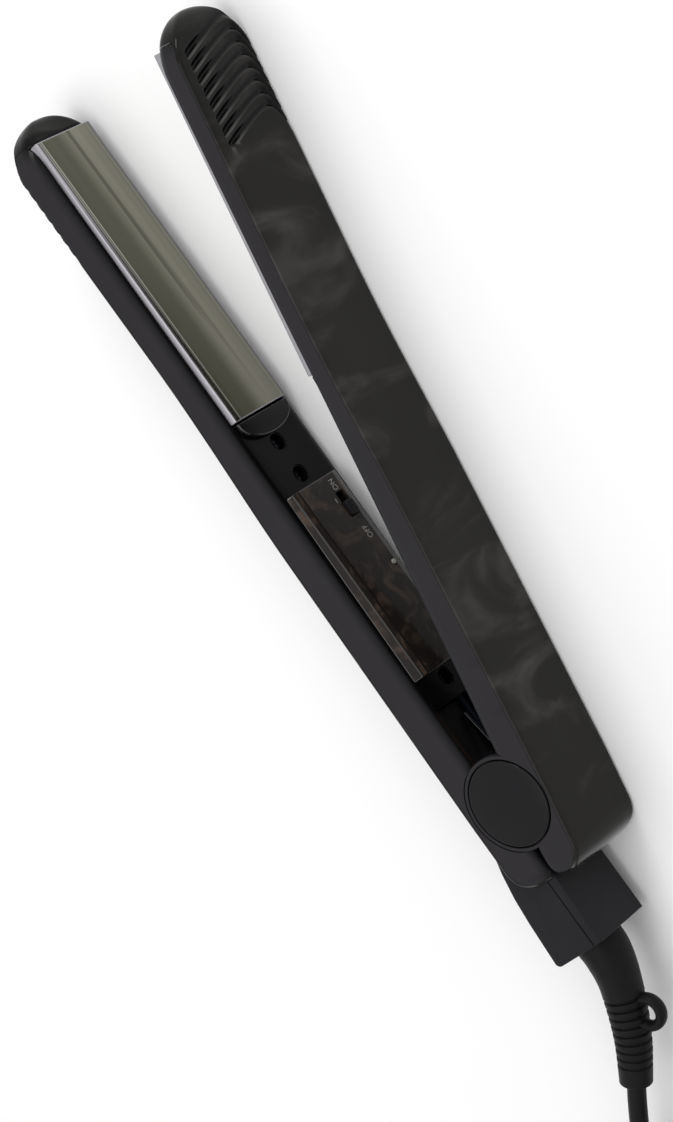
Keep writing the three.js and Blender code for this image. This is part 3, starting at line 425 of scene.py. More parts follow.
def titanium_coating():
    """Stretched noise gives streaks. A painted reflection makes them dark toward the top side and light
    toward the low one, and lays fine darker marks over them. On the folds a painted reflection in stripes
    follows the distance from the middle."""
    material, tree, place = new_finish("titanium_coated_plate", Metallic=1.0)
    height = add(tree, "SeparateXYZ", out="Z", Vector=place)
    # Painted reflection: darker toward the top side, lighter toward the low one.
    slope = add(tree, "MapRange", interpolation_type="SMOOTHSTEP", From_Min=20 * MM, From_Max=12 * MM,
                Value=height)
    drawn = add(tree, "Mapping", Scale=(0.02, 1.0, 1.0), Vector=place)
    streaks = add(tree, "TexNoise", Scale=per(4), Detail=4.0, Vector=drawn)
    low = add(tree, "Mix", data_type="RGBA", A=colour("#4a4a3f"), B=colour("#615f54"), Factor=streaks)
    high = add(tree, "Mix", data_type="RGBA", A=colour("#6c6b5f"), B=colour("#8e8c80"), Factor=streaks)
    plain = add(tree, "Mix", data_type="RGBA", A=low, B=high, Factor=slope)
    fine = add(tree, "TexNoise", Scale=per(5), Detail=1.0, Distortion=0.3, Vector=drawn)
    # Fine dark lines of painted reflection over the streaks.
    painted_reflection_lines = add(tree, "MapRange", interpolation_type="SMOOTHSTEP", From_Min=0.6, From_Max=0.66, To_Max=0.55,
                Value=fine)
    face = add(tree, "Mix", data_type="RGBA", A=plain, B=colour("#3b3a31"), Factor=painted_reflection_lines)
    across = from_middle(tree, place)
    fold = add(tree, "MapRange", From_Min=9.7 * MM, From_Max=12.1 * MM, Value=across)
    fold_reflections = add(tree, "ValToRGB", Fac=fold)
    ramp = fold_reflections.node.color_ramp.elements
    for at, text in FOLD_REFLECTION_BANDS:
        ramp.new(at).color = colour(text)
    ramp[0].color, ramp[-1].color = colour(FOLD_REFLECTION_START), colour(FOLD_REFLECTION_END)
    on_fold = add(tree, "MapRange", From_Min=9.6 * MM, From_Max=9.9 * MM, Value=across)
    tone = add(tree, "Mix", data_type="RGBA", A=face, B=fold_reflections, Factor=on_fold)
    sheen = add(tree, "MapRange", To_Min=0.08, To_Max=0.2, Value=streaks)
    return wired(material, Base_Color=tone, Roughness=sheen)


# Titanium-coated aluminium of the plates: a dim greenish grey metal.
TITANIUM = titanium_coating()
print("plate finish:", TITANIUM.name)


# %% Polished panel
def polished_panel():
    """A warped noise between two levels turns black into a dark brownish tone, a painted reflection of warm
    light.
    """
    material, tree, place = new_finish("black_abs_polished", Roughness=0.08, Specular_IOR_Level=0.18)
    clouds = add(tree, "TexNoise", Scale=per(8), Detail=5.0, Distortion=1.2, Vector=place)
    # Painted reflection: brown clouds where warm light would catch the polished black.
    painted_warm_reflection = add(tree, "MapRange", interpolation_type="SMOOTHSTEP", From_Min=0.45, From_Max=0.72, Value=clouds)
    tone = add(tree, "Mix", data_type="RGBA", A=colour("#262220"), B=colour("#4c3f37"), Factor=painted_warm_reflection)
    return wired(material, Base_Color=tone)


# ABS from a mirror-polished tool: a wet black, with a painted brown reflection in it.
POLISHED_ABS = polished_panel()
print("panel finish:", POLISHED_ABS.name)

# %% [markdown]
# ## Finishes for the pieces that keep their engineering shape
# Heaters, clamps, board and wires sit inside the arms. Their solids already have the right shape, so
# they only get a finish.

# %% Finishes on the inner solids
INNER_PIECES = [
    ("spring_steel", ROLLED_STEEL, ["hinge_pin", "heater_clamp_a", "heater_clamp_b", "slide_switch"]),
    ("ceramic", ALUMINA, ["heater_a", "heater_b"]),
    ("board", BOARD, ["circuit_board"]),
    ("fuse_aluminium", DRAWN_CAN, ["thermal_fuse"]),
    ("black_plastic", BLACK_ABS, ["cord_clamp"]),
    ("wire_brown", BROWN_SILICONE, ["live_wire"]),
    ("wire_blue", BLUE_SILICONE, ["neutral_wire"]),
]
for slot_name, finish, names in INNER_PIECES:
    for node in (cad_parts[name] for name in names):
        node.data.materials.clear()
        node.data.materials.append(finish)
print("inner pieces painted:", sum(len(names) for _, _, names in INNER_PIECES))

# %% [markdown]
# ## Where the arms lie
# Both arms lie on their side. Arm B is arm A turned over and swung open round the hinge, whose axis is
# 1.6 mm to arm B's side of the closing plane.

# %% Places, and the last step for each piece
AXIS_OFFSET, OPEN_ANGLE = 1.6, math.radians(13.44)
SWING = Matrix.Rotation(-OPEN_ANGLE, 4, "Z")
ON_AXIS = Matrix.Translation((0, AXIS_OFFSET * MM, 0))
PLACES = {
    "a": Matrix.Translation(Vector((0, AXIS_OFFSET, HALF_WIDTH)) * MM),
    "b": Matrix.Translation((0, 0, HALF_WIDTH * MM)) @ SWING @ ON_AXIS @ Matrix.Rotation(math.pi, 4, "X"),
}


def finish_piece(thing, name, finishes, slot, *nodes, arm="a", place=None, body=None):
    """Bakes a solid's place into its mesh, gives it its finishes, and hides the engineering solids that it
    stands for.
    """
    mesh = thing.data
    mesh.transform(PLACES[arm] if place is None else place)
    thing.name = mesh.name = name
    finishes = finishes if isinstance(finishes, list) else [finishes]
    number = read_all(mesh.polygons, "material_index", 1, int).ravel()
    mesh.materials.clear()
    for finish in finishes:
        mesh.materials.append(finish)
    mesh.polygons.foreach_set("material_index", np.minimum(number, len(finishes) - 1))
    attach(thing, body or "arm_" + arm)
    if nodes:
        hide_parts(*nodes)
    return thing


print("tip of arm B in millimetres:", [round(v / MM, 1) for v in PLACES["b"] @ Vector((0.2311, 0, 0))])

# %% [markdown]
# ## The arm's form
# An arm is a flat-sided bar that slims toward the plate, with a round tip and a rounded rear. It could be
# sculpted from a cube with subdivision. A formula is exact instead: at each x it gives the lowest and
# highest y and the half width, and a rounded rectangle with a slight crown fills that space.

# %% Sizes and heights along the arm
GAP, WALL, COVER_SKIN, SEAM, CROWN = 0.3, 1.8, 1.3, 0.12, 0.78
PLATE_START, PLATE_END, PLATE_HALF = 128.3, 223.3, 12.2
NOSE, TIP_HEIGHT, SLIM = 7.8, 10.6, (90.0, 158.0)
TIP = PLATE_END + NOSE
FACE_AT_HEEL, FACE_AT_TIP, PANEL = 3.3, 1.7, (41.6, 103.2)
REAR, REAR_RADIUS, REAR_CORNER, REAR_INNER, REAR_SLOT = 24.2, 9.0, 5.0, 2.2, 2.2
RING_RADIUS, CAP_RADIUS, CHEEK_INNER, CAP_DEPTH, THROAT_END = 14.2, 12.8, 12.6, 1.3, 32.0
FACE_CORNER, OUTER_CORNER, LEAST_CORNER = 4, 1.3, 0.2
HEELS = {"a": (15.2, 0.02), "b": (16.4, 0.034)}


def smoothstep(low, high, x):
    """Runs from 0 at low to 1 at high as three t squared less two t cubed."""
    t = np.clip((x - low) / (high - low), 0, 1)
    return t * t * (3 - 2 * t)


def quarter(t):
    """The drop of a quarter circle: one less the root of one less t squared."""
    return 1 - np.sqrt(1 - np.clip(t, 0, 1) ** 2)


def outer_height(x, arm):
    """A handle that tapers by a little per millimetre, eased down to the height over the plate."""
    height, taper = HEELS[arm]
    handle = height - taper * np.maximum(x, 0)
    return handle + (TIP_HEIGHT - handle) * smoothstep(*SLIM, x)


def inner_height(x):
    """A straight line along the face, eased to the rear's own depth across the hinge."""
    share = np.clip((x - PANEL[0]) / (PLATE_END - PANEL[0]), 0, 1)
    face = FACE_AT_HEEL + (FACE_AT_TIP - FACE_AT_HEEL) * share
    return REAR_INNER + (face - REAR_INNER) * smoothstep(-RING_RADIUS, RING_RADIUS, x)


print("arm depth at the hinge and over the plate:", outer_height(0, "a"), outer_height(200, "a"))


# %% Rings round the arm
def corner_arc(side, half, level, radius, start, steps):
    """A quarter circle at one corner of the section, from a start angle."""
    angle = math.radians(start) + np.linspace(0, math.pi / 2, steps)
    return side * (half - radius) + radius * np.cos(angle), level + radius * np.sin(angle)


def arm_rings(x, arm, margin=0.0, top_points=48, corner_points=8):
    """Rings round the arm at each x, drawn in by a margin. Tip and rear close along quarter circles."""
    x = np.asarray(x, float)[:, None]
    nose = quarter((x - PLATE_END) / NOSE)
    rear = quarter((REAR_RADIUS - REAR - x) / REAR_RADIUS)
    corner = quarter((REAR_CORNER - REAR - x) / REAR_CORNER)
    half = HALF_WIDTH * (1 - quarter((x - TIP + HALF_WIDTH) / HALF_WIDTH)) - REAR_CORNER * corner - margin
    middle = (inner_height(x) + outer_height(x, arm)) / 2
    low = (inner_height(x) + margin) * (1 - nose) + middle * nose + 2 * corner
    high = (outer_height(x, arm) - margin) * (1 - nose) + middle * nose - REAR_RADIUS * rear
    inner = np.minimum(np.minimum(FACE_CORNER - margin, half * 0.8), (high - low) * 0.45)
    outer = np.minimum(np.minimum(max(OUTER_CORNER - margin, LEAST_CORNER), half * 0.3), (high - low) * 0.3)
    rise = (0 if margin else CROWN) * (1 - nose) * (1 - rear)
    top, face = np.linspace(1, -1, top_points + 2)[1:-1], np.linspace(-1, 1, 10)[1:-1]
    parts = [
        corner_arc(1, half, low + inner, inner, -90, corner_points),
        corner_arc(1, half, high - outer, outer, 0, corner_points),
        ((half - outer) * top, high + rise * (1 - top * top)),
        corner_arc(-1, half, high - outer, outer, 90, corner_points),
        corner_arc(-1, half, low + inner, inner, 180, corner_points),
        ((half - inner) * face, low + 0 * face),
    ]
    z, y = [np.concatenate(part, 1) for part in zip(*parts)]
    return np.stack([np.broadcast_to(x, z.shape), y, z], -1)


def arm_stations(groove_step):
    """Places along the arm: close together where the rear and the tip turn, and in the grooves."""
    turn = np.linspace(0, 0.5 * math.pi, 26)
    rear = REAR_RADIUS - REAR - REAR_RADIUS * np.sin(turn[::-1])
    nose = PLATE_END + NOSE * np.sin(turn)
    rear[0], nose[-1] = 0.02 - REAR, TIP - 0.01
    return np.concatenate([rear, np.linspace(-14, 192, 70), np.arange(193, PLATE_END, groove_step), nose])


print("points in one ring:", arm_rings([100.0], "a").shape[1])

# %% [markdown]
# ## Grip grooves
# Eight grooves near the tip give the fingers a hold. Seen from outside, each starts in a deep scoop near
# one edge, bends across the arm while it gets shallow, and cuts into the far edge. They could be carved
# with eight swept cutters. Pressing the surface in by a formula keeps their soft ends.

# %% Grooves pressed into the outer face
GROOVES = {"count": 8, "pitch": 3.8, "first": 225.6, "bend": 8.3, "sag": 2.76, "slope": 0.42, "hook": 0.024}
SCOOP, SCOOP_WIDTH, GROOVE_STOP, FAR_EDGE = -8.6, 4.2, (-12.6, -11.4), (8, 13)
# Where painted shade grows toward the tip and over the nose, and where the rear is polished.
TIP_SHADE_RAMP, NOSE_SHADE_RAMP, POLISHED_REAR = (186, 200), (226, 229), (1.5 - REAR, 5 - REAR)


def from_groove(x, z):
    """How far a place is from the nearest groove's centreline, toward the tip. The line is a hyperbola up
    to the bend and falls off with a cube past it."""
    before, after = np.maximum(GROOVES["bend"] - z, 0), np.maximum(z - GROOVES["bend"], 0)
    sag = GROOVES["sag"]
    centre = sag - np.hypot(sag, GROOVES["slope"] * before) - GROOVES["hook"] * after ** 3
    away = x - GROOVES["first"] - centre
    number = np.clip(np.round(-away / GROOVES["pitch"]), 0, GROOVES["count"] - 1)
    return away + number * GROOVES["pitch"]


def scoop_share(z):
    """A bell curve round the deep end, and a soft stop just past it."""
    return np.exp(-((z - SCOOP) / SCOOP_WIDTH) ** 2), smoothstep(*GROOVE_STOP, z)


def groove_depth(x, z):
    """A bell curve over the distance, a little steeper toward the hinge."""
    away = from_groove(x, z)
    scoop, stop = scoop_share(z)
    depth = 0.7 + 0.7 * scoop + 0.3 * smoothstep(*FAR_EDGE, z)
    return depth * np.exp(-(away / np.where(away > 0, 1.15, 0.85)) ** 2) * stop


def cover_rings(x, arm):
    """The arm's rings, pressed in along y where the grooves run, and only on the outer face."""
    rings = arm_rings(x, arm, top_points=80)
    level = rings[..., 1] - outer_height(rings[..., 0], arm)
    rings[..., 1] -= groove_depth(rings[..., 0], rings[..., 2]) * smoothstep(-2.2, -0.3, level)
    return rings


def paint_cover(thing, arm):
    """Three attributes: groove, a painted shade, grows with the depth, toward the tip and over the nose;
    the painted highlight is a thin bell curve on the hinge side of each groove; and polish grows round the
    rear."""
    x, y, z = read_all(thing.data.vertices, "co", 3).T / MM
    outside = smoothstep(-2.6, -1.6, y - outer_height(x, arm))
    scoop, stop = scoop_share(z)
    # Painted highlight along the hinge side of each groove, strongest near the deep end.
    painted_lip_highlight = (0.15 + 0.5 * scoop) * stop * np.exp(-((from_groove(x, z) + 1.1) / 0.25) ** 2)
    # Painted shade: darker toward the tip, over the nose and with the depth of the grooves.
    painted_shade = 0.42 * smoothstep(*TIP_SHADE_RAMP, x) + 0.3 * smoothstep(*NOSE_SHADE_RAMP, x) + 1.1 * groove_depth(x, z)
    polish = 1 - smoothstep(*POLISHED_REAR, x)
    for name, values in (("groove", np.clip(painted_shade, 0, 0.96)), ("painted_lip_highlight", painted_lip_highlight * outside), ("polish", polish)):
        thing.data.attributes.new(name, "FLOAT", "POINT").data.foreach_set("value", values)
    return thing


print("deepest groove in millimetres:", round(groove_depth(np.linspace(190, 228, 900), SCOOP).max(), 2))

# %% [markdown]
# ## Tray and cover
# A moulded arm comes apart into a tray, which carries everything, and a thin cover. The same side
# profile parts them, so their seam runs the whole way round with a fine even line. Screws go through
# bosses in the tray into posts of the cover.

# %% Seam, bores and hollow
SCREWS, SCREW_SINK = (38.4, 107.3, 118.3), 4.0
SHANK_BORE, HEAD_BORE, POST_RADIUS, BOSS_RADIUS = 1.4, 2.6, 3.0, 4.4
BELOW, PAST = -5.0, 17.0


def hinge_rod(arm, radius, low=-PAST, high=PAST, sides=48):
    """A round bar on the hinge axis, in an arm's own frame."""
    return rod("z", (0, -AXIS_OFFSET if arm == "a" else AXIS_OFFSET), low, high, radius, sides)


def seam_profile(depth, nose_place, arm):
    """The arm's side outline drawn in by a depth: down the nose, along the cover and round the rear."""
    height = HEELS[arm][0]
    turn = np.linspace(0, math.pi / 2, 12)
    radius = REAR_RADIUS - depth
    x = np.linspace(SLIM[1], SLIM[0], 24)
    rear = [REAR_RADIUS - REAR - radius * np.sin(turn), height - REAR_RADIUS + radius * np.cos(turn)]
    return np.concatenate([
        [[nose_place, -20]],
        np.stack([nose_place - 2 + 2 * np.cos(turn), TIP_HEIGHT - depth - 2 + 2 * np.sin(turn)], 1),
        np.stack([x, outer_height(x, arm) - depth], 1),
        [[0, height - depth]],
        np.stack(rear, 1),
        [[depth - REAR, -20]],
    ])


def inside_seam(arm, depth=COVER_SKIN, nose_gap=0.0):
    return prism(seam_profile(depth, PLATE_END + 1 + nose_gap, arm), -PAST, PAST, "z")


def rear_slot():
    """The space behind the hinge that arm B leaves free, turned with the open arm."""
    space = block(-60, 0, -60, REAR_SLOT - REAR_INNER - AXIS_OFFSET, -40, 40)
    space.data.transform(ON_AXIS @ SWING)
    return space


def screw_bores(place):
    """A wide bore for the head, with a softened rim, and a narrow one for the shank."""
    seat = inner_height(place) + SCREW_SINK
    rim = soften(rod("y", (place, 0), BELOW, seat - SCREW_SINK + 0.3, 3.0), 0.28)
    head = rod("y", (place, 0), BELOW, seat, HEAD_BORE)
    return less(rim, head, rod("y", (place, 0), BELOW, 30, SHANK_BORE))


def hollow_tray(arm):
    """The arm's form inside the seam, without the space for the parts that it carries."""
    start, end, narrow = THROAT_END + WALL, PLATE_END - WALL, HALF_WIDTH - WALL
    cavity = skin("cavity", arm_rings([start, *np.linspace(40, 220, 60), end], arm, WALL, 12, 4))
    edge = [(start, narrow), (TIP - HALF_WIDTH, narrow), (end, narrow - 3)]
    mouth = prism(mirrored(edge), inner_height(THROAT_END) + 4, 40, "y")
    bosses = [rod("y", (place, 0), inner_height(place) + 0.5, inner_height(place) + SCREW_SINK + 1.4,
                  BOSS_RADIUS) for place in SCREWS]
    return combine(
        skin("tray", arm_rings(arm_stations(3), arm)), ("INTERSECT", inside_seam(arm)),
        *less(cavity, mouth, block(-80, THROAT_END, -40, 60, -CHEEK_INNER, CHEEK_INNER)),
        *plus(*bosses), *[step for place in SCREWS for step in screw_bores(place)],
        *less(block(PLATE_START - GAP, PLATE_END + GAP, -5, 12, -PLATE_HALF - GAP, PLATE_HALF + GAP)),
    )


print("seam points:", len(seam_profile(COVER_SKIN, PLATE_END, "a")))

# %% [markdown]
# Arm A's tray has a round bore for the hinge, a window under the panel and two notches for the wires.
# Arm B's tray ends in two round cheeks. Each has a shallow recess for a hinge cap, and a rib between them
# takes the push of the spring.

# %% Both trays and both covers
RING_BORE, PIN_BORE, ROUND = RING_RADIUS + GAP + 0.1, 3.3, 144
RIB_START, RIB_END, RIB_LOW, RIB_HIGH = 25, 30, 3.9, 6.5


def wire_ways(start, end):
    """Two square ways for the wires, one on each side of the middle."""
    return [block(start, end, 7.7, 10.1, side * 6.2 - 1.2, side * 6.2 + 1.2) for side in (1, -1)]


def tray_a():
    bore = hinge_rod("a", RING_BORE, sides=ROUND)
    window = block(PANEL[0] + 3, PANEL[1] - 3, -5, 5.3, -8.5, 8.5)
    return combine(hollow_tray("a"), *less(bore, window, *wire_ways(31, 35)))


def tray_b():
    recess = HALF_WIDTH - CAP_DEPTH - GAP
    cheeks, recesses = [], []
    for side in (1, -1):
        cheek = hinge_rod("b", RING_RADIUS, *sorted((side * CHEEK_INNER, side * HALF_WIDTH)), ROUND)
        cheeks.append(overlap(cheek, inside_seam("b")))
        recesses.append(hinge_rod("b", CAP_RADIUS + 0.5, *sorted((side * recess, side * PAST)), ROUND))
    rib = block(RIB_START, RIB_END, RIB_LOW, RIB_HIGH, -CHEEK_INNER - 0.4, CHEEK_INNER + 0.4)
    return combine(hollow_tray("b"), *less(rear_slot()), *plus(*cheeks, rib),
                   *less(*recesses, hinge_rod("b", PIN_BORE)))


def cover(arm):
    """The grooved form outside the seam, with a post above each screw."""
    steps = less(inside_seam(arm, COVER_SKIN - SEAM, SEAM))
    for place in SCREWS:
        foot, roof = inner_height(place) + SCREW_SINK + 1.7, outer_height(place, arm) - 0.4
        steps += plus(rod("y", (place, 0), foot, roof, POST_RADIUS))
        steps += less(rod("y", (place, 0), BELOW, roof - 1.2, SHANK_BORE))
    if arm == "a":
        throat = block(-80, -5.4, -40, 60, -CHEEK_INNER, CHEEK_INNER)
        steps += less(hinge_rod("a", RING_BORE, sides=ROUND), throat)
    else:
        steps += less(rear_slot())
    return combine(skin("cover", cover_rings(arm_stations(0.2), arm)), *steps)


for arm, tray in (("a", tray_a()), ("b", tray_b())):
    finish_piece(smooth(tray), f"housing_{arm}_tray", TRAY, "grey_plastic", f"housing_{arm}", arm=arm)
    shell = paint_cover(smooth(cover(arm)), arm)
    finish_piece(shell, f"cover_{arm}_shell", LACQUER, "smoked_gloss", f"cover_{arm}", arm=arm)
    print("arm", arm, "tray faces:", len(tray.data.polygons), "cover faces:", len(shell.data.polygons))

# %% [markdown]
# ## Plates
# A plate is a sheet with both long sides folded down. Its face is flat in the middle, leans away a
# little along the last 2.3 mm, and turns over a small radius into the side, so that hair glides on
# without a crease. The profile is carried along the plate. Sides and cut ends keep the bare bright metal.

# %% Folded plates
PLATE_DEPTH, PLATE_SHEET, FOLD_RADIUS = 5.5, 1.2, 0.45


def plate_side(half, depth, lift):
    """One side of the profile: a straight side, a small quarter circle, then the leaning shoulder."""
    turn = np.linspace(0, math.pi / 2, 7)
    return np.stack([
        np.concatenate([[depth], lift + 0.25 + FOLD_RADIUS * (1 - np.sin(turn)), [lift + 0.07, lift]]),
        np.concatenate([[half], half - FOLD_RADIUS * (1 - np.cos(turn)), [half - 1.4, half - 2.3]]),
    ], 1)


def plate():
    """Outer side, its mirror image, and the same again one sheet further in."""
    outer = plate_side(PLATE_HALF, PLATE_DEPTH, 0)
    inner = plate_side(PLATE_HALF - PLATE_SHEET, PLATE_DEPTH, PLATE_SHEET)
    outline = np.concatenate([outer, outer[::-1] * (1, -1), mirrored(inner)])
    return smooth(soften(prism(outline, PLATE_START, PLATE_END, "x"), 0.35, 3, 70), 25)


for arm in "ab":
    sheet = plate()
    normal = np.abs(read_all(sheet.data.polygons, "normal", 3))
    bare = ((normal[:, 2] > 0.75) | (normal[:, 0] > 0.2)).astype(int)
    two_finishes(sheet)
    sheet.data.polygons.foreach_set("material_index", bare)
    finish_piece(sheet, f"plate_{arm}_sheet", [TITANIUM, BARE_EDGE], "titanium_plate", f"plate_{arm}",
                 arm=arm)
    print("plate", arm, "bare faces:", bare.sum(), "of", len(bare))

# %% [markdown]
# ## Heat shields and screws
# A D-shaped shield closes the tray behind each plate. Its round rim catches a thin line of light. The
# screws sit at the bottom of deep round holes. Both are prisms with softened rims.

# %% Shields and screws
SHIELD_LENGTH, HEAD_RADIUS, SHANK_RADIUS = 5.6, 2.3, 1.1


def heat_shield():
    """A half circle squeezed along the arm, carried up to just under the tray's face."""
    turn = np.linspace(-0.5 * math.pi, 0.5 * math.pi, 48)
    end, face = PLATE_START - GAP - 0.2, inner_height(PLATE_START)
    arc = np.stack([PLATE_START - 1.6 - SHIELD_LENGTH * np.cos(turn), (PLATE_HALF - 0.8) * np.sin(turn)], 1)
    outline = np.concatenate([[[end, 0.6 - PLATE_HALF]], arc, [[end, PLATE_HALF - 0.6]]])
    return smooth(soften(prism(outline, face - 1.7, face - 0.25, "y"), 0.35, 3, 50, second=True), 50)


def screw(place, arm):
    """A round head with a cross recess, and a shank that goes up into the cover's post."""
    seat = inner_height(place) + SCREW_SINK - GAP
    head = soften(rod("y", (place, 0), seat - 1.5, seat, HEAD_RADIUS), 0.45, 4)
    shank = rod("y", (place, 0), seat - 0.2, outer_height(place, arm) - 1.9, SHANK_RADIUS)
    cross = [block(place - x, place + x, 0, seat - 0.8, -z, z) for x, z in ((1.5, 0.3), (0.3, 1.5))]
    return smooth(combine(head, *plus(shank), *less(*cross)))


for arm in "ab":
    finish_piece(heat_shield(), f"plate_cap_{arm}_shield", [GLOSSY_ABS, BUFFED_EDGE], "black_plastic",
                 f"plate_cap_{arm}", arm=arm)
    for number, place in enumerate(SCREWS, 1):
        finish_piece(screw(place, arm), f"screw_{arm}_{number}_turned", BLUED_STEEL, "blued_steel",
                     f"screw_{arm}_{number}", arm=arm)
print("screws turned:", 2 * len(SCREWS))

# %% [markdown]
# ## Control panel
# The panel is a polished black moulding with a flat top and broad sloped sides, each with a soft
# shoulder. It's the overlap of two prisms: one drawn from the side, one drawn from the end. A slot for the
# switch and a hole for the lamp are cut through its top.

# %% Panel, knob and lamp
PANEL_TOP, PANEL_HALF, PANEL_SLOPE, PANEL_SHEET = 0.2, 13.0, 4.6, 1.2
KNOB_X, KNOB_Z, KNOB_LONG, KNOB_WIDE, KNOB_TRAVEL = 91.8, -5.7, 4.6, 3.2, 3.0
LAMP, LAMP_RADIUS = (72.6, -7.1), 0.8


def panel_form(margin):
    """Two outlines, one seen from the side and one from the end, and what both of them hold."""
    start, end = PANEL[0] + margin, PANEL[1] - margin
    base = [inner_height(x) - GAP + (3 if margin else 0) for x in PANEL]
    top, wide, narrow = PANEL_TOP + margin, PANEL_HALF - margin, PANEL_HALF - PANEL_SLOPE - margin
    side = prism([(start, top), (end, top), (end, base[1]), (start, base[0])], -PANEL_HALF, PANEL_HALF, "z")
    edge = [(10, wide), (FACE_AT_HEEL, wide), (top + 0.75, narrow + 1.9), (top, narrow)]
    return overlap(side, prism(mirrored(edge), 0, 140, "x"))


def around_knob(ahead, low, high, room=0.0):
    """A block as large as the knob and some room, longer ahead of it by a travel."""
    half_x, half_z = KNOB_LONG / 2, KNOB_WIDE / 2
    return block(KNOB_X - half_x - room, KNOB_X + half_x + ahead + room, low, high,
                 KNOB_Z - half_z - room, KNOB_Z + half_z + room)


def control_panel():
    holes = less(panel_form(PANEL_SHEET), around_knob(KNOB_TRAVEL, -5, 3, GAP),
                 rod("y", LAMP, -5, 4, LAMP_RADIUS + GAP))
    return smooth(combine(soften(panel_form(0), 0.4, 4, 15, second=True), *holes), 50)


def switch_knob():
    """A low block with three finger grooves across it, and a post down to the switch."""
    knob = soften(around_knob(0, -0.98, PANEL_TOP + 0.9), 0.35)
    grips = [rod("z", (KNOB_X + step, -1.1), KNOB_Z - 5, KNOB_Z + 5, 0.28, 20) for step in (-1.1, 0, 1.1)]
    post = block(KNOB_X - 1, KNOB_X + 1, PANEL_TOP + 0.5, 2.8, KNOB_Z - 1, KNOB_Z + 1)
    return smooth(combine(knob, *less(*grips), *plus(post)))


lamp = smooth(soften(rod("y", LAMP, PANEL_TOP - 0.4, 6.3, LAMP_RADIUS, 40), 0.3))
panel = control_panel()
finish_piece(panel, "control_panel_moulding", [POLISHED_ABS, BUFFED_EDGE], "black_gloss", "control_panel")
finish_piece(switch_knob(), "switch_knob_moulding", BLACK_ABS, "black_plastic", "switch_knob",
             body="switch_knob")
finish_piece(lamp, "power_indicator_lens", LAMP_ACRYLIC, "lens", "power_indicator")
print("panel faces:", len(panel.data.polygons))

# %% [markdown]
# ## Printed marks
# ON and OFF are pad-printed beside the switch, with a short line at its middle. Text becomes a thin mesh
# first, because only a mesh can hold its place in its points.

# %% Marks on the panel
PRINT_DEPTH, LETTER_SIZE, NARROWED = 0.03, 2.9, 0.8


def printed(thing, name, x, z):
    """Lays a flat drawing on the panel's face, read from the hinge toward the tip."""
    lift = Matrix.Translation(Vector((x, PANEL_TOP - PRINT_DEPTH / 2, z)) * MM)
    place = PLACES["a"] @ lift @ Matrix.Rotation(math.pi / 2, 4, "X") @ Matrix.Diagonal((NARROWED, 1, 1, 1))
    return finish_piece(thing, name, PRINT_INK, "lens", place=place)


for name, word, x, z in (("on_mark", "ON", 99.7, -5.5), ("off_mark", "OFF", 83.6, -5.7)):
    text = bpy.data.curves.new(name, "FONT")
    text.body, text.size, text.extrude = word, LETTER_SIZE * MM, PRINT_DEPTH * MM / 2
    text.align_x, text.align_y = "CENTER", "CENTER"
    lettering = bpy.data.objects.new(name, text)
    mesh = bpy.data.meshes.new_from_object(lettering)
    bpy.data.objects.remove(lettering)
    printed(add_object(name, mesh), name, x, z)
printed(block(-0.9, 0.9, -0.15, 0.15, -PRINT_DEPTH / 2, PRINT_DEPTH / 2), "middle_mark", 95.4, -2.4)
print("marks printed: 3")

# %% [markdown]
# ## Hinge caps, tail block and lid
# Two plain discs close the hinge. The tail block behind it is one strong moulding: a knuckle round the
# pin, a foot under arm A's cover and a box for the cord, closed by a lid with chamfered long sides.

# %% Hinge caps, tail block and lid
TAIL_END, TAIL_TOP, TAIL_DROP, TAIL_WALL, TAIL_HALF = 45.5, 4.0, 22.3, 2.2, CHEEK_INNER - GAP
LID_DEPTH, LID_SLOPE, LID_END, FRONT_STEP = 2.4, 1.1, -10.9, -5.7
KNUCKLE, FOOT_DEPTH, SPOOL_HALF, RELIEF_HEIGHT, TAIL_CORNER = 8.0, 3.4, 4.85, 14.6, 1.6


def spring_room():
    """A ring round the pin for the curls, and two slots for the legs, all outside the core."""
    foot = outer_height(0.0, "a") - COVER_SKIN - FOOT_DEPTH
    rooms = [
        hinge_rod("a", 7.2, -SPOOL_HALF, SPOOL_HALF, 64),
        block(0, 20, -AXIS_OFFSET, foot - 1.2, -SPOOL_HALF, SPOOL_HALF),
        block(0, 20, -AXIS_OFFSET - 9, -AXIS_OFFSET, SPOOL_HALF - 2.4, SPOOL_HALF),
    ]
    return [combine(room, *less(hinge_rod("a", 4.6, -6, 6))) for room in rooms]


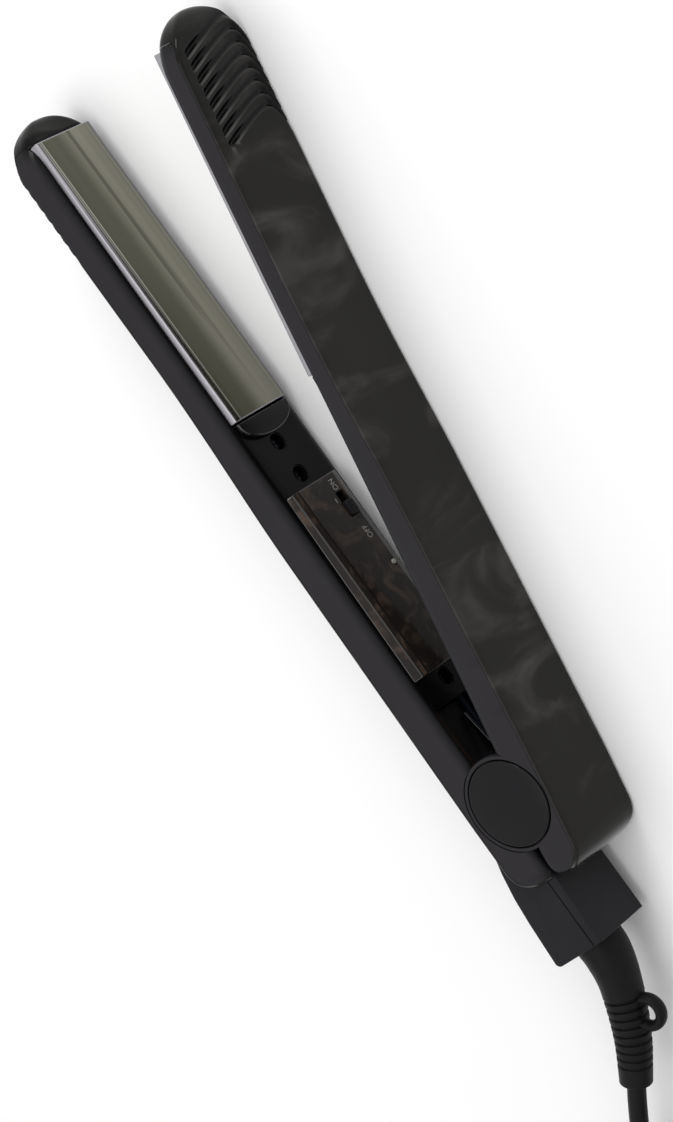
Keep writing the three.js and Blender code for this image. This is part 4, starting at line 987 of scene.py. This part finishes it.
def tail_block():
    """A side outline carried across the block, rounded, joined to the knuckle and hollowed."""
    foot = [(x, outer_height(x, "a") - COVER_SKIN) for x in (THROAT_END - GAP, 0, 14)]
    top = TAIL_TOP + LID_DEPTH + GAP
    turn = np.linspace(0, math.pi / 2, 8)
    corner = np.stack([TAIL_CORNER - TAIL_END - TAIL_CORNER * np.sin(turn),
                       TAIL_DROP - TAIL_CORNER + TAIL_CORNER * np.cos(turn)], 1)
    outline = [
        (foot[0][0], foot[0][1] - FOOT_DEPTH), foot[0], (FRONT_STEP, foot[1][1]),
        (FRONT_STEP, HEELS["a"][0] + 0.8), (-15.2, 18.9), (-22.8, 20.5), (-30.8, 21.4), *corner,
        (-TAIL_END, top), (LID_END + GAP, top), (LID_END + GAP, TAIL_TOP), (-KNUCKLE, -AXIS_OFFSET),
        (KNUCKLE, -AXIS_OFFSET), (14, foot[2][1] - FOOT_DEPTH),
    ]
    back = TAIL_WALL - TAIL_END
    hollow = prism([(back, 0), (-14, 0), (-14, 15.6), (-24, 18), (back, TAIL_DROP - TAIL_WALL)],
                   TAIL_WALL - TAIL_HALF, TAIL_HALF - TAIL_WALL, "z")
    return combine(
        soften(prism(outline, -TAIL_HALF, TAIL_HALF, "z"), 0.5, 4, 30),
        *plus(hinge_rod("a", KNUCKLE, -TAIL_HALF, TAIL_HALF, 96)),
        *less(*spring_room(), hollow, *wire_ways(-15, THROAT_END), hinge_rod("a", PIN_BORE),
              rod("x", (RELIEF_HEIGHT, 0), -50, -42, 5.3)),
    )


def tail_lid():
    section = mirrored([(TAIL_TOP + LID_DEPTH, TAIL_HALF), (TAIL_TOP, TAIL_HALF - LID_SLOPE)])
    return soften(prism(section, -TAIL_END, LID_END, "x"), 0.3, 3, 20)


def hinge_cap(low, high):
    return soften(hinge_rod("a", CAP_RADIUS, low, high, ROUND), 0.45, 5)


cap_face = HALF_WIDTH - CAP_DEPTH
for name, solid, finish, node in (
    ("hinge_cap_near_disc", hinge_cap(cap_face, HALF_WIDTH + GAP), GLOSSY_ABS, "hinge_cap_near"),
    ("hinge_cap_far_disc", hinge_cap(-HALF_WIDTH, -cap_face), GLOSSY_ABS, "hinge_cap_far"),
    ("tail_block_moulding", tail_block(), BLACK_ABS, "tail_block"),
    ("tail_lid_moulding", tail_lid(), BLACK_ABS, "tail_lid"),
):
    finish_piece(smooth(solid), name, finish, "black_plastic", node)
    print(name, "faces:", len(solid.data.polygons))

# %% [markdown]
# ## Round sections carried along a line
# Strain relief, spring and cord are all round sections that follow a line. None of these lines ever runs
# straight up, so at each point the section's first direction can be taken square to the line and to the
# vertical, for all points at once.

# %% Smooth lines and tubes
def evenly(line, count):
    """Points at equal steps of the length along a line."""
    run = np.concatenate([[0], np.cumsum(np.linalg.norm(np.diff(line, axis=0), axis=1))])
    place = np.linspace(0, run[-1], count)
    return np.stack([np.interp(place, run, line[:, k]) for k in range(3)], 1)


def smooth_line(points, count):
    """A centripetal Catmull-Rom curve: knots spaced by the root of each step, blended three times."""
    p = np.asarray(points, float)
    p = np.vstack([2 * p[0] - p[1], p, 2 * p[-1] - p[-2]])
    knots = np.concatenate([[0], np.cumsum(np.linalg.norm(np.diff(p, axis=0), axis=1) ** 0.5)])

    def blend(a, b, start, end, t):
        return (end - t) / (end - start) * a + (t - start) / (end - start) * b

    spans = []
    for i in range(1, len(p) - 2):
        t0, t1, t2, t3 = knots[i - 1:i + 3]
        t = np.linspace(t1, t2, 40, endpoint=False)[:, None]
        a, b, c = [blend(p[k], p[k + 1], knots[k], knots[k + 1], t) for k in (i - 1, i, i + 1)]
        spans.append(blend(blend(a, b, t0, t2, t), blend(b, c, t1, t3, t), t1, t2, t))
    return evenly(np.vstack([*spans, p[-2:-1]]), count)


def line_length(line):
    return float(np.linalg.norm(np.diff(line, axis=0), axis=1).sum())


def swept(name, line, radii, sides):
    """Each ring is the line's point plus radius times cosine and sine of two square directions."""
    ahead = np.gradient(line, axis=0)
    side = np.cross([0, 0, 1.0], ahead)
    side /= np.linalg.norm(side, axis=1)[:, None]
    other = np.cross(ahead, side)
    other /= np.linalg.norm(other, axis=1)[:, None]
    turn = np.linspace(0, 2 * math.pi, sides, endpoint=False)[:, None]
    radii = np.broadcast_to(np.asarray(radii, float), len(line))[:, None, None]
    return skin(name, line[:, None] + radii * (np.cos(turn) * side[:, None] + np.sin(turn) * other[:, None]))


print("a test line's length:", round(line_length(smooth_line([(0, 0, 0), (3, 4, 0)], 5)), 3))

# %% [markdown]
# ## Strain relief
# Where the cord leaves, a rubber piece keeps it from kinking: a smooth neck, nine narrow grooves that let
# it bend, and a plain collar. Its radius is a function of the way along it. A small loop to hang the iron
# up is moulded to its side.

# %% Strain relief
RELIEF_POINTS = [(-38.3, RELIEF_HEIGHT), (-45.8, RELIEF_HEIGHT), (-49, RELIEF_HEIGHT), (-56, 16.2),
                 (-64, 19.8), (-74, 25.7), (-82, 31.9), (-85.3, 34.6)]
STUB, STUB_RADIUS, NECK, NECK_RADII = 7.5, 5.0, 17.0, (7.25, 6.05)
RIB_COUNT, RIB_STEP, RIB_RUN, RIB_RADIUS = 9, 2.6, 27.0, 4.8
GROOVE_PLACE, GROOVE_WIDTH, GROOVE_SHARE = 0.3, 0.17, 0.14
END_ROUNDING = (0.03, 0.1, 0.22, 0.4, 0.7)
LOOP_REACH, LOOP_RADIUS, LOOP_THICK, LOOP_WIDE = 6.6, 4.3, 1.55, 2.1


def relief_radius(run):
    """The neck eases from one radius to the next, and each groove takes a seventh off as a flat bell."""
    past = run - STUB - NECK
    neck = NECK_RADII[0] + (NECK_RADII[1] - NECK_RADII[0]) * smoothstep(0, NECK, run - STUB)
    body = neck + (RIB_RADIUS - NECK_RADII[1]) * np.clip(past / RIB_RUN, 0, 1)
    phase = past / RIB_STEP
    groove = np.exp(-((phase % 1 - GROOVE_PLACE) / GROOVE_WIDTH) ** 4) * (phase > 0) * (phase < RIB_COUNT)
    return np.where(run < STUB, STUB_RADIUS, body * (1 - GROOVE_SHARE * groove))


def hanging_loop(at, ahead):
    """A ring with an oval section: its centre is a reach to the side of a place on the relief."""
    centre = at + LOOP_REACH * np.array([-ahead[1], ahead[0], 0])
    turn = np.linspace(0, 2 * math.pi, 64, endpoint=False)[:, None]
    small = np.linspace(0, 2 * math.pi, 24, endpoint=False)[None]
    ring = LOOP_RADIUS + LOOP_THICK * np.cos(small)
    x, y = centre[0] + ring * np.cos(turn), centre[1] + ring * np.sin(turn)
    return skin("loop", np.stack([x, y, LOOP_WIDE * np.sin(small) + 0 * turn], -1), hoop=True)


relief_line = smooth_line([(x, y, 0) for x, y in RELIEF_POINTS], 420)
relief_run = np.linspace(0, line_length(relief_line), len(relief_line))
relief_radii = relief_radius(relief_run)
relief_radii[-5:] -= END_ROUNDING
loop_index = int(np.searchsorted(relief_run, STUB + NECK + 2 * RIB_STEP))
loop_ahead = relief_line[loop_index + 1] - relief_line[loop_index]
loop = hanging_loop(relief_line[loop_index], loop_ahead / np.linalg.norm(loop_ahead))
relief = smooth(combine(swept("relief", relief_line, relief_radii, 56), *plus(loop)), 50)
finish_piece(relief, "strain_relief_moulding", CORD_PVC, "soft_rubber", "strain_relief")
print("strain relief length in millimetres:", round(relief_run[-1], 1))

# %% [markdown]
# ## Torsion spring
# Five curls of wire round the knuckle hold the iron open. One leg presses on the tail block's foot, the
# other on arm B's rib. The line is a helix with a straight leg at each end.

# %% Torsion spring
SPRING_RADIUS, SPRING_WIRE, SPRING_CURLS, SPRING_LEG = 6.0, 1.2, 5, 27.0


def spring_line():
    """Angles grow evenly while z crosses the spool. Each leg starts where it touches the curls."""
    rise = SPRING_WIRE / 2 + GAP
    foot = outer_height(SPRING_LEG, "a") - COVER_SKIN - FOOT_DEPTH - rise
    rib = -RIB_START * math.sin(OPEN_ANGLE) - (RIB_LOW - AXIS_OFFSET) * math.cos(OPEN_ANGLE)
    rib = rib - AXIS_OFFSET + rise
    span = 2 * (SPOOL_HALF - 1)
    foot_lean = math.atan2(foot + AXIS_OFFSET - SPRING_RADIUS, SPRING_LEG)
    rib_lean = math.atan2(rib + AXIS_OFFSET + SPRING_RADIUS, SPRING_LEG)
    share = np.linspace(0, 1, SPRING_CURLS * 36)
    angle = math.pi / 2 + foot_lean + share * ((SPRING_CURLS - 0.5) * 2 * math.pi - foot_lean + rib_lean)
    x, y = SPRING_RADIUS * np.cos(angle), SPRING_RADIUS * np.sin(angle) - AXIS_OFFSET
    curls = np.stack([x, y, (share - 0.5) * span], 1)
    return np.vstack([[SPRING_LEG, foot, -span / 2], curls, [SPRING_LEG, rib, span / 2]])


spring = smooth(swept("spring", spring_line(), SPRING_WIRE / 2, 14), 60)
finish_piece(spring, "torsion_spring_wire", BLUED_STEEL, "blued_steel", "torsion_spring")
print("wire in the spring, in millimetres:", round(line_length(spring_line())))

# %% [markdown]
# ## Cord
# The photograph shows only the cord's first centimetre. A salon iron has about 2.6 m of it. It drops from
# the strain relief to the surface, runs on for a few centimetres, and is wound into a flat coil of four
# layers just outside the picture. Each layer is a spiral, and half a turn climbs to the next.

# %% The cord's start and its coil
CORD, CORD_LENGTH, CORD_PITCH, CORD_RISE = 5.5, 2600.0, 6.9, 6.4
COIL_MEAN, COIL_LAYERS, CLIMB = 31.8, 4, 0.5
TIE_SHEET, TIE_WIDTH, TAIL_RUN = 1.2, 9.0, 69.5
FLOOR_RISE = TIE_SHEET + GAP + CORD / 2
LEAD_STEPS = [(GAP, HALF_WIDTH), (7, HALF_WIDTH), (17, 14.6), (28, 11), (39, 7), (49, 4.6), (57, FLOOR_RISE),
              (63, FLOOR_RISE)]
TAIL_STEPS = [(20, 2.4, -0.6), (35, 7.5, -4.2), (50, 13, -9.6), (62, 16.4, -13.2), (73, 17.8, -14.5),
              (80, 18, -14.65)]


def lead_line():
    """From the relief's end straight on in plan, and down to the floor in a long soft S."""
    heading = relief_line[-1] - relief_line[-2]
    heading /= np.linalg.norm(heading)
    along, height = np.array(LEAD_STEPS).T
    line = relief_line[-1] + [0, AXIS_OFFSET, 0] + heading * along[:, None]
    line[:, 2] = height
    return line, heading


def coil_sizes(lead):
    """Turns are the length left over by the mean turn's length. Layers share them, less the climbs."""
    turns = (CORD_LENGTH - line_length(lead) - TAIL_RUN - 2 * CORD) / (2 * math.pi * COIL_MEAN)
    per_layer = (turns - (COIL_LAYERS - 1) / 2) / COIL_LAYERS
    return turns, per_layer, COIL_MEAN - CORD_PITCH * per_layer / 2, COIL_MEAN + CORD_PITCH * per_layer / 2


def coil_line(centre, start, turns, per_layer, inner, outer):
    """Radius swings between outer and inner with each layer, and height follows half a cosine wave."""
    turn = np.linspace(0, turns, round(turns * 72))
    layer = np.minimum(np.floor(turn / (per_layer + CLIMB)), COIL_LAYERS - 1)
    within = turn - layer * (per_layer + CLIMB)
    share = np.clip(within / per_layer, 0, 1)
    radius = np.where(layer % 2 == 0, outer + (inner - outer) * share, inner + (outer - inner) * share)
    climb = np.maximum(within - per_layer, 0) / CLIMB
    angle = start + turn * 2 * math.pi
    height = FLOOR_RISE + CORD_RISE * (layer + (1 - np.cos(math.pi * climb)) / 2)
    return np.stack([centre[0] + radius * np.cos(angle), centre[1] + radius * np.sin(angle), height], 1)


lead, heading = lead_line()
turns, per_layer, coil_inner, coil_outer = coil_sizes(lead)
coil_start = math.atan2(heading[1], heading[0]) - math.pi / 2
meet = lead[-1] + heading * (GAP + CORD)
coil_centre = meet[:2] - coil_outer * np.array([math.cos(coil_start), math.sin(coil_start)])
coil = coil_line(coil_centre, coil_start, turns, per_layer, coil_inner, coil_outer)
coil_end = coil_start + turns * 2 * math.pi
print("coil turns:", round(turns, 2), "outer radius:", round(coil_outer, 1))

# %% [markdown]
# The cord's end leaves the top of the coil, comes down beside it and goes into the plug. All three
# stretches make one line, and one tube follows it.

# %% The cord's end, and one tube along the whole line
def tail_line():
    """Straight on from the coil, then along growing circles round it while it comes down."""
    leave = np.array([-math.sin(coil_end), math.cos(coil_end), 0])
    first = coil[-1] + leave * (CORD + GAP)
    degrees, out, drop = np.array(TAIL_STEPS).T
    angle, reach = coil_end + np.radians(degrees), coil_outer + out
    x, y = coil_centre[0] + reach * np.cos(angle), coil_centre[1] + reach * np.sin(angle)
    return np.vstack([first, first + leave * 6, np.stack([x, y, coil[-1, 2] + drop], 1)])


tail = tail_line()
cord_line = np.vstack([smooth_line(lead, 60), coil, smooth_line(tail, 60)])
cord = smooth(swept("cord", cord_line, CORD / 2 - 0.01, 20), 60)
finish_piece(cord, "mains_cord", CORD_PVC, "soft_rubber", "cord_lead", "cord_coil", "cord_tail",
             place=Matrix.Identity(4))
print("cord line in millimetres:", round(line_length(cord_line)))

# %% [markdown]
# ## Tie and plug
# A strap holds the turns together. The plug is a moulded body with a ribbed neck and two flat blades. Its
# body is the overlap of a side outline and a plan outline, with generous rounding.

# %% Tie and plug
PLUG_NECK, PLUG_LENGTH, PLUG_WIDTH, PLUG_HEIGHT, BLADE_SPACE = 12.0, 34.0, 24.0, 17.0, 12.7
PLUG_END, TIE_ANGLE, TIE_ROOM = PLUG_NECK + PLUG_LENGTH, 80, 0.5


def coil_tie():
    """A flat strap bent round the turns: a softened block with a softened hole."""
    low, high = TIE_SHEET, FLOOR_RISE + (COIL_LAYERS - 1) * CORD_RISE + CORD / 2 + TIE_ROOM
    inner, outer = coil_inner - CORD / 2 - 0.9, coil_outer + CORD / 2 + TIE_ROOM
    hole = soften(block(inner, outer, -TIE_WIDTH, TIE_WIDTH, low, high), 0.8, 4)
    band = block(inner - TIE_SHEET, outer + TIE_SHEET, -TIE_WIDTH / 2, TIE_WIDTH / 2, 0, high + TIE_SHEET)
    return smooth(combine(soften(band, 0.5, 4), *less(hole)))


def plug_body():
    """Side and plan outlines that widen from the neck, and a neck with three ribs."""
    half, start, wide = PLUG_WIDTH / 2, PLUG_NECK - 2, PLUG_NECK + 7
    side = prism([(start, 3.5), (wide, 0), (PLUG_END, 0), (PLUG_END, PLUG_HEIGHT), (wide, PLUG_HEIGHT),
                  (start, PLUG_HEIGHT - 3.5)], -half, half, "y")
    plan = prism(mirrored([(start, 5), (wide + 1, half), (PLUG_END, half)]), 0, PLUG_HEIGHT, "z")
    axis = (0, PLUG_HEIGHT / 2)
    ribs = [soften(rod("x", axis, at, at + 1.6, 5), 0.4) for at in (1.2, 4, 6.8)]
    slots = [block(PLUG_END - 1.1, PLUG_END + 1, at - 1.05, at + 1.05, 5, 12)
             for at in (BLADE_SPACE / 2, -BLADE_SPACE / 2)]
    body = soften(overlap(side, plan), 1.2, 5, 20)
    return smooth(combine(body, *plus(rod("x", axis, GAP, PLUG_NECK, 4), *ribs), *less(*slots)))


def plug_blade(side):
    middle, height = side * BLADE_SPACE / 2, PLUG_HEIGHT / 2
    blade = block(PLUG_END - 0.75, PLUG_END + 17.2, middle - 0.75, middle + 0.75,
                  height - 3.15, height + 3.15)
    return smooth(soften(blade, 0.3))


def on_floor(x, y, angle):
    """A place on the floor, in millimetres, turned by an angle."""
    return Matrix.Translation((x * MM, y * MM, 0)) @ Matrix.Rotation(angle, 4, "Z")


tie_place = on_floor(*coil_centre, coil_start + math.radians(TIE_ANGLE))
plug_place = on_floor(*tail[-1, :2], coil_end + math.radians(TAIL_STEPS[-1][0]) + math.pi / 2)
on_cord = [
    finish_piece(plug_body(), "mains_plug", CORD_PVC, "soft_rubber", "plug_body", place=plug_place),
    finish_piece(coil_tie(), "coil_tie_band", BLACK_ABS, "black_plastic", "coil_tie", place=tie_place),
]
for name, side in (("plug_blade_1", 1), ("plug_blade_2", -1)):
    on_cord.append(finish_piece(plug_blade(side), "mains_" + name, BRASS, "blade_brass", name,
                                place=plug_place))
print("pieces on the cord:", len(on_cord))

# %% [markdown]
# ## Floor and light
# The iron lies on a plain white sweep. Soft light comes from all round, and two softboxes above it draw
# thin bright lines along the rounded edges. The camera, and whatever is reflected in metal, see plain
# white, while the floor keeps the iron's soft shadow.

# %% Floor, world and softboxes
WHITE, FLOOR_HALF, FLOOR_DROP, SOFT_LIGHT = (1, 1, 1, 1), 3000, 0.2, 0.66
SOFTBOXES = {
    "softbox_over": ((0.1, 0.1, 1.4), 1.3, 7.0),
    "softbox_side": ((0.85, -0.45, 0.45), 0.3, 2.5),
}
LIT_PLACE = (0.08, 0.0, 0.0)


def make_floor():
    corners = np.array([(-1, -1, 0), (1, -1, 0), (1, 1, 0), (-1, 1, 0)]) * FLOOR_HALF
    floor = mesh_object("floor", corners, [[0, 1, 2, 3]])
    floor.location.z = -FLOOR_DROP * MM
    # Matt white paper.
    floor.data.materials.append(new_finish("white_paper_sweep", Base_Color=WHITE, Roughness=0.9)[0])


def make_world(strength):
    """Rays of the camera, of reflections and of glass see white. All others see softer light."""
    world = bpy.data.worlds.new("studio")
    bpy.context.scene.world = world
    world.use_nodes = True
    tree = world.node_tree
    soft = tree.nodes["Background"]
    soft.inputs["Strength"].default_value, soft.inputs["Color"].default_value = strength, WHITE
    seen = add(tree, "LightPath", out="Is Camera Ray")
    rays = seen.node.outputs
    for kind in ("Is Glossy Ray", "Is Transmission Ray"):
        seen = add(tree, "Math", operation="MAXIMUM", Value=seen)
        tree.links.new(rays[kind], seen.node.inputs[1])
    mixed = add(tree, "MixShader", Fac=seen)
    tree.links.new(soft.outputs["Background"], mixed.node.inputs[1])
    tree.links.new(add(tree, "Background", Color=WHITE, Strength=1.0), mixed.node.inputs[2])
    tree.links.new(mixed, tree.nodes["World Output"].inputs["Surface"])


def make_softbox(name, place, size, power):
    """A square lamp that faces the iron, as wide as a real softbox."""
    data = bpy.data.lights.new(name, "AREA")
    data.shape, data.size, data.size_y, data.energy = "RECTANGLE", size, size, power
    lamp = add_object(name, data)
    lamp.location, lamp.rotation_mode = place, "QUATERNION"
    lamp.rotation_quaternion = (Vector(place) - Vector(LIT_PLACE)).to_track_quat("Z", "Y")


make_floor()
make_world(SOFT_LIGHT)
for name, (place, size, power) in SOFTBOXES.items():
    make_softbox(name, place, size, power)
print("lights:", len(bpy.data.lights))

# %% [markdown]
# ## The end
# The scene uses the Standard view transform.

bpy.context.scene.view_settings.view_transform = "Standard"
